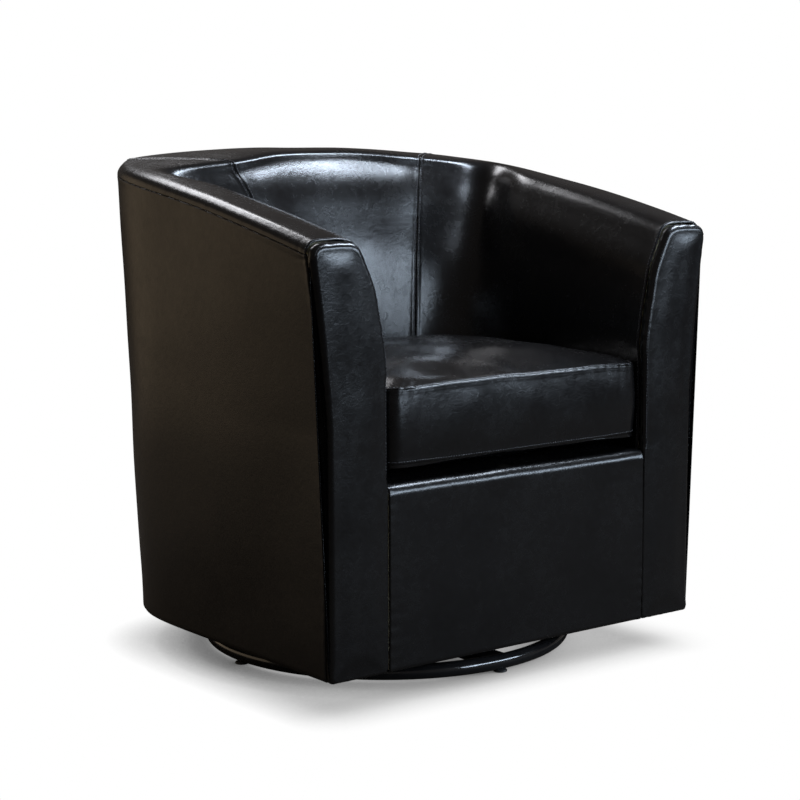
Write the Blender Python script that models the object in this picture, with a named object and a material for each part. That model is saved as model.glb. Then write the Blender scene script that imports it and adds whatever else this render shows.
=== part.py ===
"""Swivel club chair: a tub-shaped upholstered shell with a loose seat cushion on a round swivel base.

Metres, +Z up, the front faces -Y, the origin is on the floor under the middle, on the swivel's axis.
Every piece is its own object.  Walls that follow the tub are lofted through vertical sections: the
arms' sections lie across the chair, and the back's sections fan out from one upright pivot line.
"""

import math

import bmesh
import bpy
import numpy as np

# Overall sizes
DEPTH = 0.595
FRONT_Y = -DEPTH / 2
BASE_HALF_WIDTH = 0.3153
SHELL_BOTTOM = 0.046
FRONT_RIM = 0.598
BACK_RIM = 0.700
RIM_POWER = 1.9
FLARE = 0.0237
FLARE_START = 0.36
FLARE_POWER = 1.3

# The tub's plan: straight sides, then a heading that eases round to the middle of the back
STRAIGHT_SIDE = 0.256
TURN_POWER = 2.966
PIVOT_Y = FRONT_Y + STRAIGHT_SIDE
PLAN_STEPS = 400
SHORTEST_TURN, LONGEST_WAY = 0.05, 2.5

# Inner faces
INNER_HALF_WIDTH = 0.224
INNER_BACK_Y = 0.100
INNER_BACK_AT = 0.290
INNER_BACK_LEAN = 0.06
INNER_PLAN_POWER = 2.05
SEAM_ANGLE = math.radians(46.5)

# Roll along the rim: drop below the crest, then offset from the inner face
ROLL = ((0.002, 0.049), (0.010, 0.039), (0.027, 0.0305), (0.058, 0.017),
        (0.093, 0.0095), (0.118, 0.0045), (0.150, 0.0))

# The two back corners: how much further out the inside lies, where round the tub, and from what level up
CORNER_REACH = 0.080
CORNER_FOLD = math.radians(30.0)
CORNER_SPREAD = math.radians(13.0)
CORNER_LOW = 0.42

# Rim
SEAM_DROP = 0.018
CREST_INSET = 0.022

# Layers
SKIN = 0.003
GAP = 0.0003
FOAM_GAP = 0.0006
FOAM_EDGE_IN, FOAM_EDGE_DROP = 0.004, 0.001
FOAM_SHELF_DROP = 0.012
BACKING = 0.0025
BOARD = 0.026
FACING_DEPTH = 0.013
FACING_ROUND = 0.008
WALL_FRONT_Y = FRONT_Y + FACING_DEPTH + GAP
INSIDE_BOTTOM = 0.270
FOAM_BOTTOM = 0.272
RAIL_TOP_DROP = 0.050
TOP_RAIL_HEIGHT = 0.050

# Front rail, deck and cushion
FRONT_RAIL_TOP = 0.2896
FRONT_RAIL_ROUND = 0.015
FRONT_FLAP = 0.085
FRONT_PAD = 0.012
DECK_TOP = 0.2868
DECK_CLOTH = 0.002
DECK_PAD = 0.010
DECK_EDGE = 0.0006
CUSHION_LOW_SEAM = 0.311
CUSHION_TOP_SEAM = 0.4116
CUSHION_CROWN = 0.028
CUSHION_BELLY = CUSHION_LOW_SEAM - FRONT_RAIL_TOP - GAP
CUSHION_SIDE_GAP = 0.0035
CUSHION_FRONT_INSET = 0.005
CUSHION_BULGE = 0.0025
CUSHION_WALL = 0.003
CUSHION_CORNER = 0.024
ZIP_HALF_HEIGHT = 0.0055
ZIP_HALF_WIDTH = 0.045
ZIP_SLOT_DEPTH, ZIP_DEPTH, ZIP_SUNK = 0.012, 0.0014, 0.0004
CORE_INSET = CUSHION_WALL + 0.0008
CUTTER_OVER = 0.02

# Rails under the seat
FRAME_BOTTOM = 0.0486
BOTTOM_RAIL_HEIGHT = 0.060
SEAT_RAIL_LOW = 0.205
SEAT_RAIL_TOP = 0.262
SEAT_RAIL = 0.024
SEAT_BACK_RAIL_Y = 0.055
BLOCK_LEG = 0.060
BLOCK_INSET = 0.008
CROSS_RAIL_WIDTH = 0.062
CROSS_RAIL_HEIGHT = 0.026
CROSS_RAIL_CLEAR = 0.004

# Springs
SPRING_COUNT = 5
SPRING_PITCH = 0.078
SPRING_WIRE = 0.0018
SPRING_Z = 0.2668
SPRING_SWING = 0.022
SPRING_WAVES = 7
TIE_PARTS = (0.3214, 0.6786)
STRIP_WIDTH = 0.010
SPRING_END_GAP = 0.0012

# Swivel base
RING_OUTER = 0.2633
RING_TUBE = 0.0105
RING_STEPS = 56
GLIDE_HEIGHT = 0.003
GLIDE_RADIUS = 0.0095
CROSS_WIDTH = 0.038
CROSS_HEIGHT = 0.012
PLATE_RADIUS = 0.086
PLATE_THICK = 0.0025
RACE_HALF = 0.0085
RACE_EDGE = 0.0155
RACE_RADIUS = PLATE_RADIUS - RACE_EDGE - RACE_HALF
BALL_RADIUS = 0.0050
BALL_COUNT = 12
BALL_CLEAR = 0.0004
GROOVE_HALF, GROOVE_SIDE = 0.0045, 0.0012
CAGE_THICK = 0.0012
CAGE_HALF = 0.0072
PLATE_HOLE = 0.012
BOLT_CLEAR = 0.0135
BOLT_CIRCLE = RACE_RADIUS - RACE_HALF - BOLT_CLEAR
BOLT_RADIUS = 0.0030
HEAD_RADIUS = 0.0058
HEAD_HEIGHT = 0.0028
NUT_RADIUS = 0.0055
NUT_HEIGHT = 0.0042
SCREW_ANGLE = math.radians(50.2)
SCREW_CIRCLE = PLATE_RADIUS - RACE_EDGE / 2
SCREW_X = SCREW_CIRCLE * math.cos(SCREW_ANGLE)
SCREW_Y = SCREW_CIRCLE * math.sin(SCREW_ANGLE)
SCREW_RADIUS = 0.0024
CROSS_RAIL_Y = SCREW_Y + 0.002
SCREW_LENGTH = 0.019
RING_Z = GLIDE_HEIGHT + GAP + RING_TUBE
CROSS_LOW = RING_Z - CROSS_HEIGHT / 2
LOWER_PLATE_LOW = RING_Z + CROSS_HEIGHT / 2 + GAP
DUST_THICK = 0.0006
DUST_INSET = 0.012
DUST_FRONT_INSET = 0.010
DUST_TOP = FRAME_BOTTOM - GAP
UPPER_PLATE_TOP = DUST_TOP - DUST_THICK - GAP
BALL_Z = (LOWER_PLATE_LOW + PLATE_THICK + UPPER_PLATE_TOP - PLATE_THICK) / 2

# Stations along the tub
ARM_STATIONS = 5
SIDE_TURN_STEPS = 10
BACK_TURN_STEPS = 6

MATERIALS = {
    "leather": ((0.016, 0.0155, 0.017), 0.34, 0.0),
    "foam": ((0.80, 0.74, 0.55), 0.95, 0.0),
    "wood": ((0.62, 0.46, 0.28), 0.70, 0.0),
    "plywood": ((0.70, 0.55, 0.36), 0.72, 0.0),
    "fibreboard": ((0.42, 0.34, 0.24), 0.85, 0.0),
    "black_cloth": ((0.020, 0.020, 0.022), 0.95, 0.0),
    "black_steel": ((0.012, 0.012, 0.013), 0.22, 0.6),
    "zinc_steel": ((0.62, 0.62, 0.60), 0.38, 1.0),
    "spring_steel": ((0.30, 0.30, 0.31), 0.45, 1.0),
    "felt": ((0.55, 0.53, 0.50), 0.98, 0.0),
    "black_plastic": ((0.020, 0.020, 0.020), 0.50, 0.0),
}


# Scene and mesh helpers

def clear_scene():
    for obj in list(bpy.data.objects):
        bpy.data.objects.remove(obj, do_unlink=True)


def material_of(name, kind):
    colour, roughness, metallic = MATERIALS[kind]
    material = bpy.data.materials.new(name)
    material.use_nodes = True
    shader = material.node_tree.nodes["Principled BSDF"]
    shader.inputs["Base Color"].default_value = (*colour, 1.0)
    shader.inputs["Roughness"].default_value = roughness
    shader.inputs["Metallic"].default_value = metallic
    material.diffuse_color = (*colour, 1.0)
    return material


def solid(name, kind, parts, smooth=None):
    """One object from a list of (points, faces); every part is turned to face outward."""
    mesh = bpy.data.meshes.new(name)
    points, faces = [], []
    for part_points, part_faces in parts:
        part_points = np.asarray(part_points, float)
        if signed_volume(part_points, part_faces) < 0:
            part_faces = [tuple(reversed(face)) for face in part_faces]
        start = len(points)
        points.extend(map(tuple, part_points))
        faces.extend(tuple(start + index for index in face) for face in part_faces)
    mesh.from_pydata(points, [], faces)
    mesh.update()
    obj = bpy.data.objects.new(name, mesh)
    bpy.context.scene.collection.objects.link(obj)
    mesh.materials.append(material_of(name, kind))
    if smooth is not None:
        mesh.polygons.foreach_set("use_smooth", np.ones(len(mesh.polygons), bool))
        mesh.set_sharp_from_angle(angle=math.radians(smooth))
    return obj


def signed_volume(points, faces):
    total = 0.0
    for face in faces:
        first = points[face[0]]
        for here, there in zip(face[1:-1], face[2:]):
            total += np.dot(first, np.cross(points[here], points[there]))
    return total / 6


def loft(sections, ring=False):
    """Points and faces of a solid through equal closed polygons; ring=True joins the last to the first.

    Each four-sided face is halved from its lower edge's front corner, so that twisted faces of
    neighbouring layers are halved alike and stay clear of each other.
    """
    sections = np.asarray(sections, float)
    count, sides = sections.shape[:2]
    points = sections.reshape(-1, 3)
    order = points[:, 1] * 1000 - np.abs(points[:, 0])
    faces = []
    for k in range(count if ring else count - 1):
        here, there = k * sides, ((k + 1) % count) * sides
        for i in range(sides):
            j = (i + 1) % sides
            quad = [here + i, there + i, there + j, here + j]
            drop = points[quad[:2], 2].sum() - points[quad[2:], 2].sum()
            lower = [0, 1] if drop < 0 else [2, 3]
            first = min(lower, key=lambda corner: order[quad[corner]])
            a, b, c, d = quad[first:] + quad[:first]
            faces += [(a, b, c), (a, c, d)]
    if not ring:
        faces.append(tuple(range(sides)))
        faces.append(tuple((count - 1) * sides + i for i in reversed(range(sides))))
    return points, faces


def box(low, high):
    xs, ys, zs = zip(low, high)
    lower = [(xs[0], ys[0], zs[0]), (xs[1], ys[0], zs[0]), (xs[1], ys[1], zs[0]), (xs[0], ys[1], zs[0])]
    return loft([lower, [(x, y, zs[1]) for x, y, _ in lower]])


def prism(outline, low, high):
    """A flat outline in X and Y carried up from low to high."""
    return loft([[(x, y, low) for x, y in outline], [(x, y, high) for x, y in outline]])


def lathe(profile, steps, centre=(0.0, 0.0)):
    """A closed profile of (radius, z) turned about an upright line through centre."""
    turns = (np.arange(steps) + 0.37) * 2 * math.pi / steps
    sections = [[(centre[0] + r * math.cos(a), centre[1] + r * math.sin(a), z) for r, z in profile]
                for a in turns]
    return loft(sections, ring=True)


def rod(low, high, radius, sides, centre):
    turns = (np.arange(sides) + 0.5) * 2 * math.pi / sides
    outline = [(centre[0] + radius * math.cos(a), centre[1] + radius * math.sin(a)) for a in turns]
    return prism(outline, low, high)


def cut(obj, cutters):
    """Takes each (points, faces) in cutters away from the object for good."""
    for index, part in enumerate(cutters):
        tool = solid(f"{obj.name}_cutter_{index}", "zinc_steel", [part])
        tool.hide_render = True
        tool.display_type = "WIRE"
        modifier = obj.modifiers.new(f"cut_{index}", "BOOLEAN")
        modifier.operation = "DIFFERENCE"
        modifier.solver = "EXACT"
        modifier.object = tool


def join(obj, name, parts):
    """Joins one or more (points, faces), clear of each other, onto the object for good."""
    tool = solid(f"{obj.name}_{name}", "zinc_steel", parts)
    tool.hide_render = True
    tool.display_type = "WIRE"
    modifier = obj.modifiers.new(name, "BOOLEAN")
    modifier.operation = "UNION"
    modifier.solver = "EXACT"
    modifier.object = tool


def mirrored(part):
    points, faces = part
    return np.asarray(points) * (-1, 1, 1), faces


# The tub's plan and stations

def plan_curve():
    """Half of the base outline, from the front left corner to the middle of the back."""
    def trace(length):
        way = np.linspace(0.0, length, PLAN_STEPS)
        part = np.clip((way - STRAIGHT_SIDE) / (length - STRAIGHT_SIDE), 0.0, 1.0)
        eased = part ** TURN_POWER / (part ** TURN_POWER + (1 - part) ** TURN_POWER)
        heading = math.pi / 2 * eased
        step = way[1] - way[0]
        across = np.concatenate([[0], np.cumsum((np.sin(heading[1:]) + np.sin(heading[:-1])) / 2 * step)])
        along = np.concatenate([[0], np.cumsum((np.cos(heading[1:]) + np.cos(heading[:-1])) / 2 * step)])
        return -BASE_HALF_WIDTH + across, FRONT_Y + along, way / length

    low, high = STRAIGHT_SIDE + SHORTEST_TURN, LONGEST_WAY
    for _ in range(40):
        middle = (low + high) / 2
        if trace(middle)[0][-1] > 0:
            high = middle
        else:
            low = middle
    return trace(low)


PLAN_X, PLAN_Y, PLAN_WAY = plan_curve()
# The back of the base outline is drawn to end a flare short of the overall depth.
BASE_BACK_Y = DEPTH / 2 - FLARE
TURNED = PLAN_Y >= PIVOT_Y
PLAN_STRETCH = (BASE_BACK_Y - PIVOT_Y) / (PLAN_Y[-1] - PIVOT_Y)
PLAN_Y = np.where(TURNED, PIVOT_Y + (PLAN_Y - PIVOT_Y) * PLAN_STRETCH, PLAN_Y)
PLAN_ANGLE = np.arctan2(PLAN_Y - PIVOT_Y, -PLAN_X)
PLAN_RADIUS = np.hypot(PLAN_X, PLAN_Y - PIVOT_Y)


class Station:
    """One upright section plane: a foot on the middle plane and a level direction outward."""

    def __init__(self, side=0, y=None, angle=None):
        if angle is None:
            self.foot = np.array([0.0, y])
            self.out = np.array([float(side), 0.0])
            self.base = BASE_HALF_WIDTH
            self.way = float(np.interp(y, PLAN_Y, PLAN_WAY))
            self.fold = 0.0
        else:
            self.foot = np.array([0.0, PIVOT_Y])
            self.out = np.array([math.cos(angle), math.sin(angle)])
            self.fold = angle if angle <= math.pi / 2 else math.pi - angle
            self.base = float(np.interp(self.fold, PLAN_ANGLE[TURNED], PLAN_RADIUS[TURNED]))
            self.way = float(np.interp(self.fold, PLAN_ANGLE[TURNED], PLAN_WAY[TURNED]))
        self.rim = FRONT_RIM + (BACK_RIM - FRONT_RIM) * (1 - (1 - self.way) ** RIM_POWER)
        self.seam = self.rim - SEAM_DROP

    def outer(self, z):
        front = FLARE * (max(z - FLARE_START, 0.0) / (FRONT_RIM - SEAM_DROP - FLARE_START)) ** FLARE_POWER
        back = FLARE * (z - SHELL_BOTTOM) / (self.seam - SHELL_BOTTOM)
        share = min(self.way / 0.4, 1.0)
        share = share * share * (3 - 2 * share)
        return self.base + (1 - share) * front + share * back

    def inner(self, z):
        deep = INNER_BACK_Y + (z - INNER_BACK_AT) * INNER_BACK_LEAN - PIVOT_Y
        power = INNER_PLAN_POWER
        across = abs(math.cos(self.fold)) / INNER_HALF_WIDTH
        along = abs(math.sin(self.fold)) / deep
        return (across ** power + along ** power) ** (-1 / power)

    def corner(self, z):
        """How much further out the inside lies near the two back corners, where the wall is thin."""
        near = (self.fold - CORNER_FOLD) / CORNER_SPREAD
        rise = min(max((z - CORNER_LOW) / (self.rim - CORNER_LOW), 0.0), 1.0)
        return CORNER_REACH * math.exp(-near * near) * rise * rise * (3 - 2 * rise)

    def at(self, pairs):
        return [(self.foot[0] + r * self.out[0], self.foot[1] + r * self.out[1], z) for r, z in pairs]

    def inside_line(self, low):
        """The upholstery's visible line, from the outer seam over the roll and down the inner face."""
        edge = self.outer(self.seam)
        line = [(edge, self.seam), (edge - 0.0015, self.rim - 0.010), (edge - 0.007, self.rim - 0.0032)]
        line.append((edge - CREST_INSET, self.rim))
        for drop, offset in ROLL:
            z = self.rim - drop
            line.append((self.inner(z) + offset + self.corner(z), z))
        line.append((self.inner(CORNER_LOW), CORNER_LOW))
        line.append((self.inner(low), low))
        return line


def arm_stations(side, front, back, count):
    return [Station(side=side, y=y) for y in np.linspace(front, back, count)]


def back_stations(first, last, steps):
    return [Station(angle=a) for a in np.linspace(first, last, steps + 1)]


def turn_stations(left):
    """From the arm's end to the inside seam, on the left or the right."""
    stations = back_stations(0.0, SEAM_ANGLE, SIDE_TURN_STEPS)
    if left:
        stations = [Station(angle=math.pi - a) for a in np.linspace(0.0, SEAM_ANGLE, SIDE_TURN_STEPS + 1)]
    return stations


def side_run(left):
    """Stations from the front of an arm round to the inside seam."""
    side = -1 if left else 1
    straight = arm_stations(side, WALL_FRONT_Y, PIVOT_Y, ARM_STATIONS)[:-1]
    return straight + turn_stations(left)


def middle_run():
    return back_stations(math.pi - SEAM_ANGLE, SEAM_ANGLE, 2 * BACK_TURN_STEPS)


def whole_run():
    return side_run(True) + middle_run()[1:-1] + side_run(False)[::-1]


def back_run():
    """Stations round the back, each end turned by a hair to stay clear of the straight rails."""
    run = turn_stations(True) + middle_run()[1:-1] + turn_stations(False)[::-1]
    run[0] = nudged(run[0], -1)
    run[-1] = nudged(run[-1], 1)
    return run


def inset_line(line, distance):
    """The same open line moved inside the upholstery by a distance, square to its own run."""
    line = np.asarray(line, float)
    run = np.diff(line, axis=0)
    run /= np.linalg.norm(run, axis=1, keepdims=True)
    square = np.stack([run[:, 1], -run[:, 0]], axis=1)
    moved = []
    for k, point in enumerate(line):
        before = square[max(k - 1, 0)]
        after = square[min(k, len(square) - 1)]
        bisector = before + after
        moved.append(point - distance * 2 * bisector / np.dot(bisector, bisector))
    return [tuple(point) for point in moved]


# Upholstery covers

def cover_section(station):
    line = station.inside_line(INSIDE_BOTTOM)
    line[0] = (line[0][0], line[0][1] + GAP)
    inner = inset_line(line, SKIN)
    inner[0] = (line[0][0] - SKIN, line[0][1])
    inner[-1] = (line[-1][0] + SKIN, line[-1][1])
    return station.at(line + inner[::-1])


def outer_section(station, low, out_by, thick):
    levels = [low, 0.20, FLARE_START, 0.47, station.seam - GAP]
    face = [(station.outer(z) - out_by, z) for z in levels]
    back = [(r - thick, z) for r, z in face]
    return station.at(face + back[::-1])


def make_covers():
    solid("outer_cover", "leather",
          [loft([outer_section(s, SHELL_BOTTOM, 0.0, SKIN) for s in whole_run()])], 40)
    inset = SKIN + GAP
    solid("outer_backing_board", "fibreboard",
          [loft([outer_section(s, FRAME_BOTTOM, inset, BACKING) for s in whole_run()])], 40)
    for name, left in (("inside_panel_left", True), ("inside_panel_right", False)):
        stations = side_run(left)
        stations[-1] = nudged(stations[-1], -1 if not left else 1)
        solid(name, "leather", [loft([cover_section(s) for s in stations])], 40)
    middle = middle_run()
    middle[0] = nudged(middle[0], -1)
    middle[-1] = nudged(middle[-1], 1)
    solid("inside_panel_back", "leather", [loft([cover_section(s) for s in middle])], 40)


def nudged(station, way):
    """A station turned by a hair, so that panels that share a seam stay clear of each other."""
    angle = math.atan2(station.out[1], station.out[0])
    return Station(angle=angle + way * GAP / 0.16)


# Foam under the covers

def foam_section(station):
    line = inset_line(station.inside_line(FOAM_BOTTOM), SKIN + GAP)
    inset = SKIN + 2 * GAP + BACKING
    frame_in = station.base - inset - BOARD - FOAM_GAP
    rail_top = station.rim - RAIL_TOP_DROP + FOAM_GAP
    top = [(r, z) for r, z in line[1:]]
    top[0] = (station.outer(station.seam) - SKIN - GAP - FOAM_EDGE_IN, top[0][1] - FOAM_EDGE_DROP)
    end = station.outer(rail_top) - inset - FOAM_GAP
    shelf = [(end, station.seam - FOAM_SHELF_DROP), (end, rail_top), (frame_in, rail_top)]
    foot = (frame_in, FOAM_BOTTOM)
    return station.at(top[:-1] + [(top[-1][0], FOAM_BOTTOM), foot] + shelf[::-1])


def make_foam():
    for name, left in (("foam_arm_left", True), ("foam_arm_right", False)):
        stations = side_run(left)
        stations[-1] = nudged(stations[-1], -1 if not left else 1)
        solid(name, "foam", [loft([foam_section(s) for s in stations])], 40)
    middle = middle_run()
    middle[0] = nudged(middle[0], -1)
    middle[-1] = nudged(middle[-1], 1)
    solid("foam_back", "foam", [loft([foam_section(s) for s in middle])], 40)


# Arm front facings

def facing_outline(inset):
    station = Station(side=1, y=FRONT_Y)
    line = station.inside_line(SHELL_BOTTOM)
    outer = [(station.outer(z), z) for z in (SHELL_BOTTOM, 0.20, FLARE_START, 0.47)]
    outline = outer + line
    outline[-1] = (INNER_HALF_WIDTH, SHELL_BOTTOM)
    outline[-2] = (INNER_HALF_WIDTH, 0.42)
    points = np.asarray(outline)
    if inset == 0:
        return points
    before = points - np.roll(points, 1, axis=0)
    after = np.roll(points, -1, axis=0) - points
    before /= np.linalg.norm(before, axis=1, keepdims=True)
    after /= np.linalg.norm(after, axis=1, keepdims=True)
    square = np.stack([-before[:, 1], before[:, 0]], 1) + np.stack([-after[:, 1], after[:, 0]], 1)
    return points + inset * 2 * square / (square ** 2).sum(1, keepdims=True)


def facing_part():
    round_off = ((0.0, FACING_ROUND), (0.0011, 0.0048), (0.0034, 0.0019),
                 (FACING_ROUND, 0.0), (FACING_DEPTH, 0.0))
    sections = []
    for back, inset in round_off:
        sections.append([(x, FRONT_Y + back, z) for x, z in facing_outline(inset)])
    return loft(sections)


def make_facings():
    right = facing_part()
    solid("arm_facing_right", "leather", [right], 40)
    solid("arm_facing_left", "leather", [mirrored(right)], 40)


# Front rail upholstery

def front_rail_line(inset, low):
    """Side view (y, z) of the rail's leather: up the front, over the rounded edge and back over the deck."""
    radius = FRONT_RAIL_ROUND - inset
    centre_y = FRONT_Y + FRONT_RAIL_ROUND
    centre_z = FRONT_RAIL_TOP - FRONT_RAIL_ROUND
    line = [(FRONT_Y + inset, low)]
    for a in np.linspace(math.pi, math.pi / 2, 6):
        line.append((centre_y + radius * math.cos(a), centre_z + radius * math.sin(a)))
    line.append((FRONT_Y + FRONT_FLAP, FRONT_RAIL_TOP - inset))
    return line


def make_front_rail():
    half = INNER_HALF_WIDTH - GAP
    outline = front_rail_line(0.0, SHELL_BOTTOM) + front_rail_line(SKIN, SHELL_BOTTOM)[::-1]
    solid("front_rail_cover", "leather", [across(outline, -half, half)], 40)
    outer = front_rail_line(SKIN + GAP, FRAME_BOTTOM)[:-1]
    outer.append((FRONT_Y + FRONT_FLAP, outer[-1][1]))
    back = FRONT_Y + SKIN + GAP + FRONT_PAD
    under = SPRING_Z + SPRING_WIRE + GAP
    pad = outer + [(FRONT_Y + FRONT_FLAP, under), (back, under), (back, FRAME_BOTTOM)]
    solid("front_rail_pad", "foam", [across(pad, -half, half)], 40)


def across(outline, low, high):
    return loft([[(x, y, z) for y, z in outline] for x in (low, high)])


# Timber frame

def frame_out(station):
    return station.base - SKIN - 2 * GAP - BACKING


def rail_section(station, low, high):
    out = frame_out(station)
    return station.at([(out, low), (out, high), (out - BOARD, high), (out - BOARD, low)])


def top_rail_section(station):
    top = station.rim - RAIL_TOP_DROP
    return rail_section(station, top - TOP_RAIL_HEIGHT, top)


def make_rails():
    high = FRAME_BOTTOM + BOTTOM_RAIL_HEIGHT
    for name, side in (("left", -1), ("right", 1)):
        run = arm_stations(side, WALL_FRONT_Y, PIVOT_Y, ARM_STATIONS)
        solid(f"arm_top_rail_{name}", "wood", [loft([top_rail_section(s) for s in run])])
        ends = (run[0], run[-1])
        solid(f"bottom_rail_{name}", "wood", [loft([rail_section(s, FRAME_BOTTOM, high) for s in ends])])
    solid("back_top_rail", "plywood", [loft([top_rail_section(s) for s in back_run()])])
    solid("bottom_rail_back", "plywood", [loft([rail_section(s, FRAME_BOTTOM, high) for s in back_run()])])
    front_back = FRONT_Y + SKIN + 2 * GAP + FRONT_PAD
    half = frame_out(Station(side=1, y=PIVOT_Y)) - BOARD - GAP
    solid("bottom_rail_front", "wood",
          [box((-half, front_back, FRAME_BOTTOM), (half, front_back + BOARD, high))])


def post(stations, low):
    """An upright board that fills the wall's frame layer from a rail's top to the rail above it."""
    high = min(s.rim for s in stations) - RAIL_TOP_DROP - TOP_RAIL_HEIGHT - GAP
    return loft([rail_section(s, low, high) for s in stations])


def make_posts():
    low = FRAME_BOTTOM + BOTTOM_RAIL_HEIGHT + GAP
    for name, side in (("left", -1), ("right", 1)):
        run = arm_stations(side, WALL_FRONT_Y, PIVOT_Y, ARM_STATIONS)
        solid(f"arm_post_{name}", "wood", [post(run[:2], low)])
        solid(f"side_post_{name}", "wood", [post(run[-2:], low)])
        turn = turn_stations(side < 0)
        solid(f"back_post_{name}", "wood", [post(turn[-4:], low)])
    middle = len(middle_run()) // 2
    solid("back_post_middle", "wood", [post(middle_run()[middle - 1:middle + 2], low)])


def make_seat_rails():
    front = FRONT_Y + SKIN + 2 * GAP + FRONT_PAD
    wall = frame_out(Station(side=1, y=PIVOT_Y)) - BOARD - GAP
    solid("seat_rail_front", "wood",
          [box((-wall, front, SEAT_RAIL_LOW), (wall, front + SEAT_RAIL, SEAT_RAIL_TOP))])
    solid("seat_rail_back", "wood",
          [box((-wall + SEAT_RAIL + GAP, SEAT_BACK_RAIL_Y, SEAT_RAIL_LOW),
               (wall - SEAT_RAIL - GAP, SEAT_BACK_RAIL_Y + SEAT_RAIL, SEAT_RAIL_TOP))])
    for name, side in (("left", -1), ("right", 1)):
        inner, outer = sorted((side * wall, side * (wall - SEAT_RAIL)))
        solid(f"seat_rail_{name}", "wood",
              [box((inner, front + SEAT_RAIL + GAP, SEAT_RAIL_LOW),
                   (outer, SEAT_BACK_RAIL_Y + SEAT_RAIL, SEAT_RAIL_TOP))])


def make_corner_blocks():
    """Triangular blocks glued into the two front corners of the seat rails."""
    wall = frame_out(Station(side=1, y=PIVOT_Y)) - BOARD - SEAT_RAIL - 2 * GAP
    front = FRONT_Y + SKIN + 3 * GAP + FRONT_PAD + SEAT_RAIL
    for name, side in (("left", -1), ("right", 1)):
        x = side * wall
        outline = [(x, front), (x - side * BLOCK_LEG, front), (x, front + BLOCK_LEG)]
        solid(f"corner_block_{name}", "wood",
              [prism(outline, SEAT_RAIL_LOW + BLOCK_INSET, SEAT_RAIL_TOP - BLOCK_INSET)])


def make_cross_rails():
    wall = frame_out(Station(side=1, y=PIVOT_Y)) - BOARD - GAP
    high = FRAME_BOTTOM + CROSS_RAIL_HEIGHT
    for name, way in (("front", -1), ("back", 1)):
        middle = way * CROSS_RAIL_Y
        reach = cross_rail_reach(way, wall)
        rail = solid(f"swivel_cross_rail_{name}", "wood",
                     [box((-reach, middle - CROSS_RAIL_WIDTH / 2, FRAME_BOTTOM),
                          (reach, middle + CROSS_RAIL_WIDTH / 2, high))])
        cut(rail, [rod(FRAME_BOTTOM - 0.01, FRAME_BOTTOM + SCREW_LENGTH, SCREW_RADIUS + GAP, 8, (x, y))
                   for x, y in screw_places() if y * way > 0])


def cross_rail_reach(way, wall):
    """The back rail ends on the curved bottom rail, so it's a little shorter than the front one."""
    if way < 0:
        return wall
    y = CROSS_RAIL_Y + CROSS_RAIL_WIDTH / 2
    best = wall
    for a in np.linspace(0.02, 0.9, 60):
        station = Station(angle=a)
        radius = frame_out(station) - BOARD - GAP
        x, height = radius * math.cos(a), PIVOT_Y + radius * math.sin(a)
        if height <= y + CROSS_RAIL_CLEAR:
            best = min(best, x)
    return best - 2 * GAP


# Seat deck

def inner_outline(z, inset, front):
    """Plan of the space between the inside panels at a level, from front left round to front right."""
    outline = [(-(INNER_HALF_WIDTH - inset), front)]
    for station in turn_stations(True) + middle_run()[1:-1] + turn_stations(False)[::-1]:
        radius = station.inner(z) - inset
        outline.append((station.foot[0] + radius * station.out[0], station.foot[1] + radius * station.out[1]))
    outline.append((INNER_HALF_WIDTH - inset, front))
    return outline


def make_deck():
    front = FRONT_Y + FRONT_FLAP + GAP
    low = DECK_TOP - DECK_CLOTH
    cloth = inner_outline(low, DECK_EDGE, front)
    solid("seat_deck_cloth", "black_cloth", [prism(cloth, low, DECK_TOP)])
    pad = inner_outline(low - DECK_PAD, DECK_EDGE, front)
    solid("seat_deck_pad", "felt", [prism(pad, low - GAP - DECK_PAD, low - GAP)])


def zigzag(x, y0, y1):
    """Centre line of one sinuous spring: half waves to and fro across its own run."""
    steps = SPRING_WAVES * 4
    line = []
    for k in range(steps + 1):
        part = k / steps
        swing = SPRING_SWING * math.sin(part * SPRING_WAVES * math.pi * 2) * min(1.0, 6 * min(part, 1 - part))
        line.append((x + swing, y0 + (y1 - y0) * part, SPRING_Z))
    return np.array(line)


def wire(line, radius, sides):
    run = np.gradient(line, axis=0)
    run /= np.linalg.norm(run, axis=1, keepdims=True)
    level = np.stack([-run[:, 1], run[:, 0], np.zeros(len(run))], 1)
    up = np.array([0.0, 0.0, 1.0])
    sections = []
    for point, sideways in zip(line, level):
        sections.append([point + radius * (math.cos(a) * sideways + math.sin(a) * up)
                         for a in (np.arange(sides) + 0.5) * 2 * math.pi / sides])
    return loft(sections)


def spring_ends():
    front = FRONT_Y + SKIN + 2 * GAP + FRONT_PAD + SEAT_RAIL
    return front - 0.010, SEAT_BACK_RAIL_Y + 0.010


def spring_places():
    return [(k - (SPRING_COUNT - 1) / 2) * SPRING_PITCH for k in range(SPRING_COUNT)]


def make_springs():
    """Five sinuous springs side by side, held together by two straight tie wires."""
    y0, y1 = spring_ends()
    reach = spring_places()[-1] + SPRING_SWING
    ties = []
    for y in (y0 + (y1 - y0) * TIE_PARTS[0], y0 + (y1 - y0) * TIE_PARTS[1]):
        line = np.array([(-reach, y, SPRING_Z), (0.0, y, SPRING_Z), (reach, y, SPRING_Z)])
        ties.append(wire(line, SPRING_WIRE, 4))
    springs = solid("seat_springs", "spring_steel", [ties[0]])
    join(springs, "waves", [wire(zigzag(x, y0, y1), SPRING_WIRE, 4) for x in spring_places()])
    join(springs, "second_tie", [ties[1]])
    half = spring_places()[-1] + 0.02
    for name, y in (("front", y0 - SPRING_END_GAP - STRIP_WIDTH), ("back", y1 + SPRING_END_GAP)):
        solid(f"spring_clip_strip_{name}", "zinc_steel",
              [box((-half, y, SEAT_RAIL_TOP + GAP), (half, y + STRIP_WIDTH, SPRING_Z + SPRING_WIRE))])


# Loose seat cushion

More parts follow.
